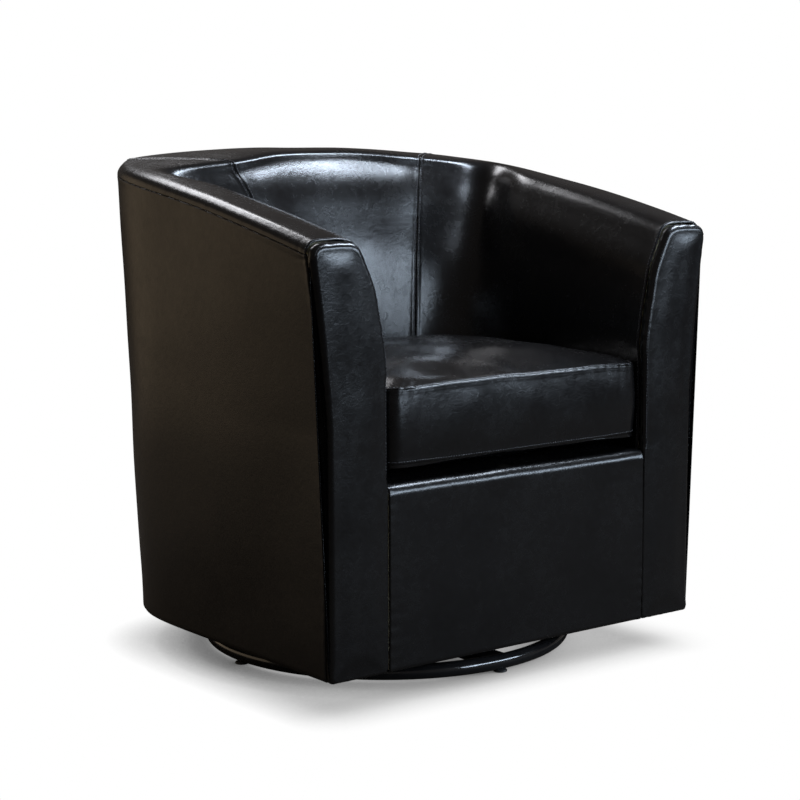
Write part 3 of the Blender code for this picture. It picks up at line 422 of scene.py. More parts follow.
def unit(vectors):
    """The vectors made one long."""
    return vectors / np.maximum(np.linalg.norm(vectors, axis=-1, keepdims=True), 1e-12)


def tube_along(name, line, radius, sides=10):
    """A round tube along a line: at each point, a circle square to the line's own direction."""
    run = unit(np.gradient(line, axis=0))
    upright = np.tile([0.0, 0.0, 1.0], (len(line), 1))
    upright[np.abs(run[:, 2]) > 0.9] = (1.0, 0.0, 0.0)
    side = unit(np.cross(run, upright))
    up = np.cross(side, run)
    turns = round_steps(sides)[None, :, None]
    ring = np.cos(turns) * side[:, None, :] + np.sin(turns) * up[:, None, :]
    return grid_mesh(name, line[:, None, :] + radius * ring, line[:, None, :], False, True, caps=True)


spring_part = np.linspace(0.0, 1.0, 29 * 8)
bends = np.sin(spring_part * spring_waves * math.pi * 2)
squared = np.tanh(bend_squareness * bends) / math.tanh(bend_squareness)
fade = np.clip(6 * np.minimum(spring_part, 1 - spring_part), 0, 1)
spring_y = spring_low.y + 0.001 + (spring_high.y - spring_low.y - 0.002) * spring_part
for number in range(5):
    spring_line = points_of((number - 2) * spring_pitch + spring_swing * squared * fade, spring_y, spring_z)
    spring = fit_piece(tube_along(f"sinuous_spring_{number + 1}", spring_line, wire_radius), spring_steel,
                       "chair", "spring_steel")
    if number == 2:
        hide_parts("seat_springs")
for number, part in enumerate((0.3214, 0.6786)):
    tie_line = points_of(np.linspace(spring_low.x, spring_high.x, 30),
                         spring_low.y + (spring_high.y - spring_low.y) * part, spring_z)
    fit_piece(tube_along(f"tie_wire_{number + 1}", tie_line, wire_radius * 0.7), spring_steel, "chair",
              "spring_steel")
for end in ("front", "back"):
    eased(f"clip_strip_{end}", f"spring_clip_strip_{end}", 0.0005, zinc, "chair", "zinc_steel")


# Foam.  Blocks of cut polyurethane foam are glued over the frame and round its rim; the cells show as
# fine pits, and the yellow tone is deeper where air has reached it.  The leather pulls the blocks in at
# the round back corners and behind the arm facings.

def ramp(value, start, width):
    """0 up to the start, 1 past the width, and an even rise between them."""
    return np.clip((value - start) / width, 0.0, 1.0)


foam_yellow = finish_of("cut_foam", (0.70, 0.60, 0.36), (0.84, 0.78, 0.60), (0.88, 0.98), 0.0, 16.0,
                        0.9, 900.0)
corner_fold, corner_spread, corner_pull, foam_fold_y = 29.0, 14.0, 0.0045, -0.0415
facing_pull, arm_middle, arm_squeeze, arm_sink = 0.0080, 0.301, 0.003, 0.0045
for part in ("foam_arm_left", "foam_arm_right", "foam_back", "front_rail_pad"):
    block = eased(f"cut_{part}", part, 0.0025, foam_yellow, "chair", "foam", 3, 35.0)
    for vert in block.data.vertices:
        fold = math.degrees(math.atan2(vert.co.y - foam_fold_y, abs(vert.co.x)))
        near_corner = math.exp(-((fold - corner_fold) / corner_spread) ** 2) * ramp(vert.co.z, 0.42, 0.10)
        vert.co -= vert.normal * (corner_pull * near_corner)
        if part.startswith("foam_arm"):
            front_end = ramp(-vert.co.y, 0.262, 0.016)
            inward = math.copysign(arm_middle, vert.co.x) - vert.co.x
            vert.co.x += front_end * min(max(inward, -arm_squeeze), arm_squeeze)
            vert.co.y += facing_pull * front_end
            vert.co.z -= arm_sink * front_end * ramp(vert.co.z, 0.50, 0.05)
pad_felt = finish_of("fibre_pad", (0.36, 0.34, 0.33), (0.66, 0.63, 0.60), (0.92, 1.0), 0.0, 260.0,
                     1.0, 1500.0)
eased("fibre_deck_pad", "seat_deck_pad", 0.002, pad_felt, "chair", "felt_pad", 3)
board = finish_of("bent_fibreboard", (0.30, 0.23, 0.15), (0.46, 0.37, 0.26), (0.75, 0.9), 0.0, 220.0,
                  0.3, 1200.0)
eased("backing_board", "outer_backing_board", 0.0, board, "chair", "fibreboard")


# The wall's shape.  The tub has straight arms and a round back, its rim rises from the arms to the
# middle of the back, and it leans out to the rim; all the leather that follows is cut to it.

front_y = -0.2975
base_half, flare, straight_side, turn_power = 0.3153, 0.0237, 0.256, 2.966
shell_bottom, front_rim, back_rim, rim_power, seam_drop = 0.046, 0.598, 0.700, 1.9, 0.018
pivot_y, back_y = front_y + straight_side, 0.2975 - flare
flare_start, flare_rise, lean_share = 0.36, 0.22, 0.4
inner_half, inner_bottom, wall_front = 0.224, 0.270, front_y + 0.0133
inner_back, inner_back_height, inner_lean, inner_power = 0.100, 0.290, 0.06, 2.05
seam_fold = math.radians(46.5)


def smooth(part):
    """A part of 0 to 1 eased at both ends."""
    return part * part * (3 - 2 * part)


def travelled(steps, axis=0):
    """The running sum of steps, from 0 before the first one."""
    total = np.cumsum(steps, axis=axis)
    return np.concatenate([0 * total.take([0], axis), total], axis=axis)


def plan_line(length):
    """Half of the base outline at a given length: the heading holds straight along the arm, then eases
    round by a quarter turn, and the steps along it are summed."""
    way = np.linspace(0.0, length, 800)
    part = ramp(way, straight_side, length - straight_side) ** turn_power
    rest = (1 - ramp(way, straight_side, length - straight_side)) ** turn_power
    heading = math.pi / 2 * part / (part + rest)
    across, along = (travelled((share[1:] + share[:-1]) / 2 * way[1])
                     for share in (np.sin(heading), np.cos(heading)))
    return across - base_half, front_y + along, way / length


short, long = straight_side + 0.05, 2.5
for _ in range(40):
    half_length = (short + long) / 2
    if plan_line(half_length)[0][-1] > 0:
        long = half_length
    else:
        short = half_length
plan_x, plan_y, plan_way = plan_line(short)
past_pivot = plan_y >= pivot_y
plan_y[past_pivot] = pivot_y + (plan_y[past_pivot] - pivot_y) * (back_y - pivot_y) / (plan_y[-1] - pivot_y)
wall_length = np.hypot(np.diff(plan_x), np.diff(plan_y)).sum()


class Wall:
    """Places round the wall, 0 at the left arm's front, 1 at the middle of the back, 2 at the right arm's
    front.  Each has an upright plane: a foot on the middle plane and a level direction out of the chair."""

    def __init__(self, places):
        places = np.asarray(places, float)
        self.way = 1 - np.abs(1 - places)
        x = np.interp(self.way, plan_way, plan_x)
        y = np.interp(self.way, plan_way, plan_y)
        self.foot = np.where(y < pivot_y, y, pivot_y)
        self.base = np.hypot(x, y - self.foot)
        side = np.where(places < 1, 1.0, -1.0)
        self.out = points_of(side * x / self.base, (y - self.foot) / self.base)
        self.fold = np.arctan2(y - self.foot, -x)
        self.rim = front_rim + (back_rim - front_rim) * (1 - (1 - self.way) ** rim_power)
        self.seam = self.rim - seam_drop

    def outer(self, z):
        """Reach of the outside: upright to knee height and then flaring at the arms, leaning out evenly
        at the back, with a smooth change between the two."""
        seam, way = self.seam[:, None], self.way[:, None]
        front = flare * (np.maximum(z - flare_start, 0.0) / flare_rise) ** 1.3
        back = flare * (z - shell_bottom) / (seam - shell_bottom)
        share = smooth(np.minimum(way / lean_share, 1.0))
        return self.base[:, None] + (1 - share) * front + share * back

    def inner(self, z):
        """Reach of the inside: a slightly squared circle that deepens with height."""
        deep = inner_back + (z - inner_back_height) * inner_lean - pivot_y
        fold = self.fold[:, None]
        return ((np.abs(np.cos(fold)) / inner_half) ** inner_power
                + (np.abs(np.sin(fold)) / deep) ** inner_power) ** (-1 / inner_power)

    def at(self, reach, z):
        """Points in space for reaches and heights, each a row for every place."""
        return points_of(reach * self.out[:, :1], self.foot[:, None] + reach * self.out[:, 1:], z)


def even_steps(length, near, far, reach):
    """Places from 0 to the length that are close together near both ends and wider in the middle."""
    t = np.linspace(0.0, length, 4000)
    edge = ramp(np.minimum(t, length - t), 0.0, reach)
    density = travelled(1 / (near + (far - near) * edge[1:] ** 1.3) * np.diff(t))
    count = int(math.ceil(density[-1])) + 1
    return np.interp(np.linspace(0.0, density[-1], count), density, t)


def curve_weights(knots, places):
    """Weights that carry values at the knots to other places along a natural cubic curve."""
    n, gap = len(knots), np.diff(knots)
    left, right = np.eye(n), np.zeros((n, n))
    for k in range(1, n - 1):
        left[k, k - 1:k + 2] = gap[k - 1], 2 * (gap[k - 1] + gap[k]), gap[k]
        right[k, k - 1:k + 2] = 6 / gap[k - 1], -6 / gap[k - 1] - 6 / gap[k], 6 / gap[k]
    bend, own = np.linalg.solve(left, right), np.eye(n)
    k = np.clip(np.searchsorted(knots, places, side="right") - 1, 0, n - 2)
    a = ((knots[k + 1] - places) / gap[k])[:, None]
    b = 1 - a
    return (a * own[k] + b * own[k + 1]
            + ((a ** 3 - a) * bend[k] + (b ** 3 - b) * bend[k + 1]) * (gap[k] ** 2)[:, None] / 6)


def grid_normals(points, core):
    """Unit normals of a grid of points, on the side away from the core."""
    square = unit(np.cross(np.gradient(points, axis=0), np.gradient(points, axis=1)))
    facing = ((points - core) * square).sum()
    return -square if facing < 0 else square


def raised(points, core, stand):
    """The points of a grid moved along its normals, away from the core, by how far each stands off."""
    return points + grid_normals(points, core) * stand[..., None]


def runs(points, axis):
    """Distance along the grid's lines from their start, and to their end."""
    start = travelled(np.linalg.norm(np.diff(points, axis=axis), axis=-1), axis)
    return start, start.take([-1], axis) - start


def ripples(points, length, seed):
    """Soft swells of about one length in every direction: nine crossing waves with set directions, summed."""
    draw = np.random.default_rng(seed)
    total = np.zeros(points.shape[:-1])
    for _ in range(9):
        direction = draw.normal(size=3)
        direction *= 2 * math.pi / (length * draw.uniform(0.75, 1.5) * np.linalg.norm(direction))
        total += np.sin(points @ direction + draw.uniform(0, 2 * math.pi))
    return total / 3.0


stitch_in = 0.0038


def sewn_edge(distance, depth, ridge):
    """How far leather stands off its own face near a seam: it dives into the seam, swells over the turned
    allowance, dips under the topstitch, and is level again a finger's width away."""
    return (-depth * np.exp(-(distance / 0.0008) ** 2) + ridge * np.exp(-((distance - 0.0030) / 0.0032) ** 2)
            - 0.5 * ridge * np.exp(-((distance - stitch_in) / 0.0009) ** 2))


def gathers(distance, along, seed, size, reach=0.010):
    """Small puckers square to a seam that fade with the distance from it: four waves along it, summed."""
    draw = np.random.default_rng(seed)
    wave = sum(np.sin(2 * math.pi * along / draw.uniform(0.008, 0.021) + draw.uniform(0, 6.28))
               for _ in range(4))
    return size * np.exp(-distance / reach) * wave / 2.0


# Leather.  Corrected hide with a tight grain, near-black and semi-gloss, drawn over the foam; fine
# creases and small differences in polish show wherever light grazes it.

def leather_finish(name, dark, light, rough, crease=1.0):
    """Near-black hide: a tone and a polish that wander over a hand's width, pebbled grain cells of about
    1.5 mm, finer creases stretched between them, and a slow swell under both."""
    material, tree, shader = new_material(name)
    place = add_node(tree, "TexCoord").outputs["Object"]
    hand, mottle, creases = (
        add_node(tree, "TexNoise", {"Vector": place, "Scale": scale, "Detail": detail, "Roughness": fineness,
                                    "Distortion": warp}).outputs["Fac"]
        for scale, detail, fineness, warp in ((11.0, 4.0, 0.55, 0.0), (85.0, 5.0, 0.65, 0.6),
                                              (170.0, 5.0, 0.62, 1.4)))
    grain = add_node(tree, "TexVoronoi", {"Scale": 620.0, "Vector": place}).outputs["Distance"]
    tone = add_node(tree, "Mix", {"A": (*dark, 1.0), "B": (*light, 1.0), "Factor": hand}, data_type="RGBA")
    half = add_node(tree, "Math", {0: hand, 1: 0.45}, operation="MULTIPLY")
    blend = add_node(tree, "Math", {0: mottle, 1: 0.55, 2: half.outputs[0]}, operation="MULTIPLY_ADD")
    polish = add_node(tree, "MapRange", {"Value": blend.outputs[0], "From Min": 0.36, "From Max": 0.64,
                                         "To Min": rough[0], "To Max": rough[1]})
    relief = {}
    for strength, distance, height in ((0.10, 0.0003, grain), (0.20 * crease, 0.0008, creases),
                                       (0.12 * crease, 0.0022, mottle)):
        bump = add_node(tree, "Bump", {"Strength": strength, "Distance": distance, "Height": height,
                                       **relief})
        relief = {"Normal": bump.outputs["Normal"]}
    plug(tree, shader, {"IOR": 1.5, "Specular IOR Level": 0.5, "Base Color": tone.outputs["Result"],
                        "Roughness": polish.outputs["Result"], **relief})
    return material


hide = leather_finish("black_hide", (0.0028, 0.0027, 0.0031), (0.0058, 0.0052, 0.0052), (0.21, 0.30))
# The outside copy of the same leather is lighter and browner than the inside one: a painted warm reflection
# on the outer cover.
hide_painted_warm_sheen = leather_finish("black_hide_painted_warm_sheen", (0.0085, 0.0072, 0.0058), (0.0160, 0.0130, 0.0098),
                              (0.29, 0.41), 0.7)


# Outer cover.  One hide wraps the outside from arm to arm; it is sewn to the inside panels under the
# rim and to the arm facings in front, and its bottom edge is drawn under the rails and stapled.

def skin(obj):
    """Gives a one-faced cover its leather's thickness, inward."""
    wall = obj.modifiers.new("leather_thickness", "SOLIDIFY")
    wall.thickness = 0.0013
    wall.offset = -1.0
    wall.use_even_offset = False


front_place = np.interp(wall_front, plan_y[~past_pivot], plan_way[~past_pivot])
cover_span = 2 * (1 - front_place)
cover_length = cover_span * wall_length
cover_wall = Wall(front_place + even_steps(cover_length, 0.0009, 0.0075, 0.030) / cover_length * cover_span)
cover_z = shell_bottom + (cover_wall.seam[:, None] - shell_bottom) * even_steps(1.0, 0.0012, 0.013, 0.05)
cover_reach = cover_wall.outer(cover_z)
cover, cover_core = cover_wall.at(cover_reach, cover_z), cover_wall.at(cover_reach - 0.05, cover_z)
from_left, from_right = runs(cover, 0)
from_bottom, from_top = runs(cover, 1)
to_front = np.minimum(from_left, from_right)
stand = sewn_edge(to_front, 0.0024, 0.0004) + sewn_edge(from_top, 0.0008, 0.0005)
stand += gathers(to_front, from_bottom, 11, 0.00035) + gathers(from_top, from_left, 12, 0.00022)
stand += 0.0007 * ripples(cover, 0.16, 13) * ramp(from_bottom, 0.0, 0.06) * ramp(from_top, 0.0, 0.06)
stand -= 0.0030 * np.exp(-(from_bottom / 0.0030) ** 2)
cover = raised(cover, cover_core, stand)
hem_reach = cover_reach[:, :1] - np.array([0.016, 0.011, 0.0065])
hem_z = shell_bottom + np.array([0.0004, 0.0002, 0.0])
hem, hem_core = cover_wall.at(hem_reach, hem_z), cover_wall.at(hem_reach, hem_z + 0.05)
whole, whole_core = np.concatenate([hem, cover], 1), np.concatenate([hem_core, cover_core], 1)
# The outer hide wears the leather copy whose lighter, browner tone is a painted warm reflection.
skin(fit_piece(grid_mesh("outer_hide", whole, whole_core), hide_painted_warm_sheen, "chair", "black_leather",
               "outer_cover"))


# Inside panels.  Three hides line the inside and roll over the foam of the rim: a side panel in each
# arm and one across the back, joined by two upright seams with a row of topstitching on each side.

line_knots = travelled([0.0081, 0.0087, 0.0153, 0.026, 0.0128, 0.019, 0.034, 0.036, 0.0255, 0.032, 0.075,
                        0.15])
roll_foot, corner_thin, thin_fold, thin_spread = 0.42, 0.080, math.radians(30), math.radians(13)


def inside_line(wall, low):
    """The line from the outer seam over the roll and down the inside, at every place: reaches and heights."""
    rim, seam, fold = wall.rim[:, None], wall.seam[:, None], wall.fold[:, None]
    edge = wall.outer(seam)
    reach = [edge, edge - 0.0015, edge - 0.007, edge - 0.022]
    height = [seam, rim - 0.010, rim - 0.0032, rim]
    thin = corner_thin * np.exp(-((fold - thin_fold) / thin_spread) ** 2)
    for drop, offset in ((0.002, 0.049), (0.010, 0.039), (0.027, 0.0305), (0.058, 0.017), (0.093, 0.0095),
                         (0.118, 0.0045), (0.150, 0.0)):
        drawn_in = smooth(ramp(rim - drop, roll_foot, rim - roll_foot))
        reach.append(wall.inner(rim - drop) + offset + thin * drawn_in)
        height.append(rim - drop)
    for z in (roll_foot, low):
        level = np.full(rim.shape, z)
        reach.append(wall.inner(level))
        height.append(level)
    return np.concatenate(reach, 1), np.concatenate(height, 1)


panel_weights = curve_weights(line_knots, even_steps(line_knots[-1], 0.0009, 0.0060, 0.040))
plan_fold = np.arctan2(plan_y - pivot_y, -plan_x)
seam_place = np.interp(seam_fold, plan_fold[past_pivot], plan_way[past_pivot])
lumbar_height, lumbar_swell, lumbar_above, lumbar_below = 0.405, 0.0115, 0.175, 0.10


def lumbar(height):
    """The back's foam swells gently toward the sitter just above the cushion and fades out higher up."""
    over = smooth(ramp(height, lumbar_height, lumbar_above))
    under = smooth(ramp(-height, -lumbar_height, lumbar_below))
    return lumbar_swell * (1 - over) * (1 - under)


def panel_grid(first, last):
    """Points, and points inside the foam behind them, of a panel between two places round the wall."""
    length = abs(last - first) * wall_length * 0.85
    wall = Wall(first + even_steps(length, 0.0008, 0.0060, 0.030) / length * (last - first))
    reach, height = (values @ panel_weights.T for values in inside_line(wall, inner_bottom))
    reach -= lumbar(height) * np.sin(wall.fold[:, None]) ** 2
    core_height = np.minimum(height, wall.rim[:, None] - 0.04)
    return wall.at(reach, height), wall.at((wall.base - 0.03)[:, None], core_height)


stitch_rows = []


def topstitch(name, distances, points, normals):
    """Keeps the grid line that runs nearest to the topstitch's distance from a seam, for the thread."""
    nearest = int(np.argmin(np.abs(distances.mean(1) - stitch_in)))
    stitch_rows.append((name, points[nearest], normals[nearest]))


by_facing, by_panel = (0.0013, 0.0002), (0.0007, 0.0010)
for panel_name, first, last, first_edge, last_edge, seed in (
        ("left", front_place, seam_place, by_facing, by_panel, 21),
        ("back", seam_place, 2 - seam_place, by_panel, by_panel, 31),
        ("right", 2 - seam_place, 2 - front_place, by_panel, by_facing, 41)):
    panel, panel_core = panel_grid(first, last)
    start, end = runs(panel, 0)
    from_top = runs(panel, 1)[0]
    stand = sewn_edge(start, *first_edge) + sewn_edge(end, *last_edge) + sewn_edge(from_top, 0.0007, 0.0004)
    stand += gathers(start, from_top, seed, 0.0003) + gathers(end, from_top, seed + 1, 0.0003)
    stand += gathers(from_top, start, seed + 2, 0.00028)
    fade = ramp(start, 0.0, 0.05) * ramp(end, 0.0, 0.05) * ramp(from_top, 0.0, 0.05)
    stand += 0.0006 * ripples(panel, 0.14, seed + 3) * fade
    panel = raised(panel, panel_core, stand)
    skin(fit_piece(grid_mesh(f"inside_hide_{panel_name}", panel, panel_core), hide, "chair", "black_leather",
                   f"inside_panel_{panel_name}"))
    for end_name, distances in zip(("first", "last"), runs(panel, 0)):
        topstitch(f"{panel_name}_{end_name}", distances, panel, grid_normals(panel, panel_core))


# Arm facings.  A shaped panel over thin foam closes the front of each arm; its edge is turned back
# all round and sewn to the outer cover, to the inside panel and to the front rail's leather.

def lengths_along(line):
    """How far along a line each of its points lies."""
    return travelled(np.linalg.norm(np.diff(line, axis=0), axis=1))


def between(places, along, values):
    """Values at places along a line, worked out from those at its points."""
    return np.stack([np.interp(places, along, column) for column in values.T], 1)


def spaced(line, count):
    """A closed line divided again into a number of equal steps."""
    closed = np.concatenate([line, line[:1]])
    along = lengths_along(closed)
    return between(np.linspace(0.0, along[-1], count + 1), along, closed)[:-1]


def soften(line, times):
    """A closed line whose corners are rounded by averaging neighbours a number of times."""
    for _ in range(times):
        line = (np.roll(line, 1, axis=0) + 2 * line + np.roll(line, -1, axis=0)) / 4
    return line


def square_to(line):
    """Directions square to a closed line, on its left."""
    tangent = unit(np.roll(line, -1, axis=0) - np.roll(line, 1, axis=0))
    return points_of(-tangent[:, 1], tangent[:, 0])


def from_outline(places, line):
    """Shortest distance from every place to a closed line."""
    nearest = np.full(len(places), np.inf)
    for point, step in zip(line, np.roll(line, -1, axis=0) - line):
        away = places - point
        part = np.clip(away @ step / (step @ step), 0.0, 1.0)
        nearest = np.minimum(nearest, np.linalg.norm(away - part[:, None] * step, axis=1))
    return nearest


facing_wall = Wall([2.0])
roll_weights = curve_weights(line_knots[:-1], np.linspace(0.0, line_knots[-2], 400))
roll_line = points_of(*(roll_weights @ values[0, :-1] for values in inside_line(facing_wall, shell_bottom)))
outer_z = np.linspace(shell_bottom, facing_wall.seam[0], 200)
outline = np.concatenate([points_of(facing_wall.outer(outer_z[None, :])[0], outer_z), roll_line[1:],
                          [[inner_half, shell_bottom]]])
outline = soften(spaced(outline, 560), 4)
ring_size = len(outline)
inward = soften(square_to(outline), 2)
around = lengths_along(outline)

edge_round, edge_flush, rail_level, rail_side, flush_ease = 0.0085, 0.0050, 0.292, inner_half + 0.030, 0.004
facing_deep, facing_crown, crown_width, sewn_in = 0.0131, 0.0026, 0.026, 0.0042


def facing_radius(places):
    """Radius of the facing's rounded edge: small along the floor and beside the rail, where it is flush."""
    beside_rail = 1 / (1 + np.exp((places[:, 1] - rail_level) / flush_ease))
    beside_rail = beside_rail / (1 + np.exp((places[:, 0] - rail_side) / flush_ease))
    at_bottom = np.exp(-((places[:, 1] - shell_bottom) / 0.016) ** 2)
    return edge_round - edge_flush * np.maximum(beside_rail, at_bottom)


# The face is covered by rings drawn in from the outline, with an offset lattice in the middle.
ring_insets = [edge_round * (1 - math.cos(turn)) for turn in np.linspace(0.0, math.pi / 2, 11)]
ring_insets += [0.0102, 0.0124, 0.0150, 0.0182]
flat_places = [outline]
for inset in ring_insets[1:]:
    ring = outline + inward * inset
    flat_places.append(ring[from_outline(ring, outline) > inset * 0.985])
lattice_row = np.arange(130)[:, None]
lattice = points_of(0.20 + np.arange(30) * 0.0050 + 0.0025 * (lattice_row % 2),
                    shell_bottom + lattice_row * 0.0043).reshape(-1, 2)
crossings = np.zeros(len(lattice), int)
for (x0, z0), (x1, z1) in zip(outline, np.roll(outline, -1, axis=0)):
    spans = (z0 > lattice[:, 1]) != (z1 > lattice[:, 1])
    crossing = x0 + (lattice[:, 1] - z0) * (x1 - x0) / (z1 - z0 if z1 != z0 else 1.0)
    crossings += spans & (lattice[:, 0] < crossing)
lattice = lattice[crossings % 2 == 1]
lattice = lattice[from_outline(lattice, outline) > ring_insets[-1] + 0.0030]
edge_loop = [(k, (k + 1) % ring_size) for k in range(ring_size)]
made = delaunay_2d_cdt([Vector(place) for place in np.concatenate(flat_places + [lattice])], edge_loop,
                       [list(range(ring_size))], 1, 1e-7, True)
flat_places, triangles = np.array([tuple(vert) for vert in made[0]]), np.array(made[2])
outline_index = np.full(ring_size, -1)
for k, sources in enumerate(made[3]):
    for source in sources:
        if source < ring_size:
            outline_index[source] = k

# Depth of the face: a quarter round at the edge, then a low crown.  Inside the edge the distance is one
# mixed over the whole outline, by its eighth powers, so that the crown has no crease along its middle.
edge_gap = from_outline(flat_places, outline)
fine_outline = spaced(outline, 2800)
mixed = np.zeros(len(flat_places))
for block in np.array_split(np.arange(len(flat_places)), 24):
    gaps = np.linalg.norm(flat_places[block, None, :] - fine_outline, axis=-1)
    mixed[block] = (np.maximum(gaps, 1e-5) ** -8).sum(1) * around[-1] / len(fine_outline) / 0.98175
inset = edge_gap + (mixed ** (-1 / 7) - edge_gap) * smooth(ramp(edge_gap, 0.0020, 0.0040))
radius = facing_radius(flat_places)
depth = radius * (1 - np.sqrt(1 - (1 - ramp(inset, 0.0, radius)) ** 2))
depth -= facing_crown * smooth(ramp(inset, radius, crown_width))
front = points_of(flat_places[:, 0], front_y + depth, flat_places[:, 1])
front[:, 1] += 0.0005 * ripples(front, 0.10, 52) * ramp(inset, 0.004, 0.02)

edge_depth = front[outline_index, 1] - front_y
wall_rows = []
for share, tuck in ((1.0, 0.0026), (0.80, 0.0014), (0.55, 0.0005), (0.28, 0.0)):
    flat = outline + inward * tuck
    back = edge_depth + (facing_deep - edge_depth) * share
    wall_rows.append(points_of(flat[:, 0], front_y + back, flat[:, 1]))
wall_rows = np.stack(wall_rows)
pucker = inward * gathers(np.zeros(ring_size), around, 51, 0.00022)[:, None]
wall_rows[..., ::2] -= pucker
nearest_edge = [int(np.argmin(((outline - place) ** 2).sum(1))) for place in flat_places]
front[:, ::2] -= pucker[nearest_edge] * np.exp(-edge_gap / 0.006)[:, None]

facing_points = np.concatenate([front, wall_rows.reshape(-1, 3)])
rim_rows = [len(front) + ring_size * k + np.arange(ring_size) for k in range(len(wall_rows))]
rim_rows.append(outline_index)
strips = np.concatenate([points_of(back_row, np.roll(back_row, -1), np.roll(front_row, -1), front_row)
                         for back_row, front_row in zip(rim_rows[:-1], rim_rows[1:])])
test = facing_points[strips[0]]
if np.cross(test[1] - test[0], test[3] - test[0])[[0, 2]] @ inward[0] > 0:
    strips = strips[:, ::-1]
test = facing_points[triangles[len(triangles) // 2]]
if np.cross(test[1] - test[0], test[2] - test[0])[1] > 0:
    triangles = triangles[:, ::-1]

over_roll = (outline[:, 0] < 0.262) | (outline[:, 1] > facing_wall.seam[0])
sewn_at = np.nonzero((outline[:, 1] > 0.30) & over_roll)[0]
breaks = np.nonzero(np.diff(sewn_at) > 1)[0]
sewn_at = np.roll(sewn_at, -(breaks[0] + 1)) if len(breaks) else sewn_at
row_x, row_z = (outline[sewn_at] + inward[sewn_at] * sewn_in).T
out_x, out_z = -0.5 * inward[sewn_at].T
row_y = front_y + edge_round * (1 - math.sqrt(1 - (1 - sewn_in / edge_round) ** 2))
for side_name, side in (("right", 1), ("left", -1)):
    faces = triangles[:, ::side].tolist() + strips[:, ::side].tolist()
    skin(fit_piece(mesh_of(f"arm_face_{side_name}", facing_points * np.array([side, 1.0, 1.0]), faces), hide,
                   "chair", "black_leather", f"arm_facing_{side_name}"))
    stitch_rows.append((f"facing_{side_name}", points_of(side * row_x, row_y, row_z),
                        points_of(side * out_x, -0.86, out_z)))


# Front rail leather.  A straight panel comes up over the padded rail, rolls over its rounded edge and
# runs back as a flap that is sewn to the deck cloth.

rail_round, rail_top, rail_half, flap_back = 0.015, 0.2896, inner_half - 0.0004, front_y + 0.085
rail_up = np.linspace(shell_bottom + 0.002, rail_top - rail_round, 60)[:-1]
rail_turn = np.linspace(math.pi, math.pi / 2, 22)
rail_flap = np.linspace(front_y + rail_round, flap_back, 26)[1:]
rail_y, rail_z = np.concatenate([
    points_of(front_y + np.array([0.016, 0.008, 0.003, 0.0008]),
              shell_bottom + np.array([0.0004, 0.0, 0.0003, 0.0012])),
    points_of(front_y, rail_up),
    points_of(front_y + rail_round + rail_round * np.cos(rail_turn),
              rail_top - rail_round + rail_round * np.sin(rail_turn)),
    points_of(rail_flap, rail_top)]).T
rail_across = even_steps(2 * rail_half, 0.0008, 0.006, 0.03) - rail_half
rail = points_of(rail_across[:, None], rail_y, rail_z)
rail_core = points_of(rail[..., 0], front_y + 0.04, np.clip(rail[..., 2], 0.08, 0.25))
start, end = runs(rail, 0)
stand = sewn_edge(start, 0.0018, 0.0004) + sewn_edge(end, 0.0018, 0.0004)
edge_near = np.exp(-((rail[..., 2] - (rail_top - 0.006)) / 0.016) ** 2)
stand += 0.0005 * edge_near * ripples(rail * np.array([1.0, 0.3, 0.3]), 0.070, 61)
stand += gathers(np.minimum(start, end), rail[..., 2] + rail[..., 1], 62, 0.0003)
stand += 0.0005 * ripples(rail, 0.13, 63) * ramp(rail[..., 2], 0.06, 0.04)
rail = raised(rail, rail_core, stand)
rail[..., 2] = np.minimum(rail[..., 2], rail_top + 0.0002)
skin(fit_piece(grid_mesh("front_rail_hide", rail, rail_core), hide, "chair", "black_leather",
               "front_rail_cover"))


# Deck cloth and dust cover.  Black bonded cloth is stretched over the fibre pad inside the wall, and a
# thin sheet of the same is stapled under the frame.

black_cloth = finish_of("black_bonded_cloth", (0.012, 0.012, 0.013), (0.030, 0.030, 0.032), (0.85, 0.98), 0.0,
                        400.0, 0.8, 1400.0)
turn_start = np.interp(pivot_y, plan_y, plan_way)


def back_plan(count, reach_of):
    """The plan line round the back, at the reach that a function gives for the wall's places."""
    wall = Wall(np.linspace(turn_start, 2 - turn_start, count))
    return wall.at(reach_of(wall), 0.0)[:, 0, :2]


def closed_plan(curve, front, across):
    """A plan outline: back along the left side, round the curve, down the right side and across the front."""
    left, right = curve[0, 0], curve[-1, 0]
    return np.concatenate([np.linspace((left, front), (left, pivot_y), 40)[:-1], curve,
                           np.linspace((right, front), (right, pivot_y), 40)[:-1][::-1],
                           np.linspace((right, front), (left, front), across)[1:-1]])


def level_core(points, middle, share):
    """Points drawn toward a middle by a share and all laid at its height."""
    return middle + (points - middle) * np.array([share, share, 0.0])


def stretched_cloth(name, node, plan, height_of, thickness):
    """A closed sheet held by its edge: rings of its plan drawn in to the middle, at heights worked out for
    the rings' points.  Its flat size and area are those of the plan."""
    x, y = plan.T
    middle = np.array([0.0, (y.min() + y.max()) / 2])
    share = np.concatenate([[1.0, 0.995, 0.985], np.linspace(0.965, 0.05, 26)])
    flat_x, flat_y = np.moveaxis(middle + (plan - middle) * share[:, None, None], -1, 0)
    top = points_of(flat_x, flat_y, height_of(points_of(flat_x, flat_y, 0.0)))
    down = np.array([0.0, 0.0, thickness])
    grid = np.concatenate([top[::-1], top[:1] - down / 2, top - down])
    core = level_core(grid, np.array([*middle, top[..., 2].mean() - thickness / 2]), 0.9)
    piece = fit_piece(grid_mesh(name, grid, core, False, True, caps=True), black_cloth, "chair",
                      "black_cloth", node)


deck_low, deck_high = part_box("seat_deck_cloth")
deck_curve = back_plan(121, lambda wall: wall.inner(deck_high.z) - 0.0012)
stretched_cloth("deck_cloth", "seat_deck_cloth", closed_plan(deck_curve, deck_low.y + 0.0002, 60),
                lambda level: deck_high.z - 0.0005 + 0.0004 * ripples(level, 0.05, 71), 0.0010)

dust_low, dust_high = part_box("dust_cover")
dust_curve = back_plan(161, lambda wall: wall.base[:, None] - 0.013)


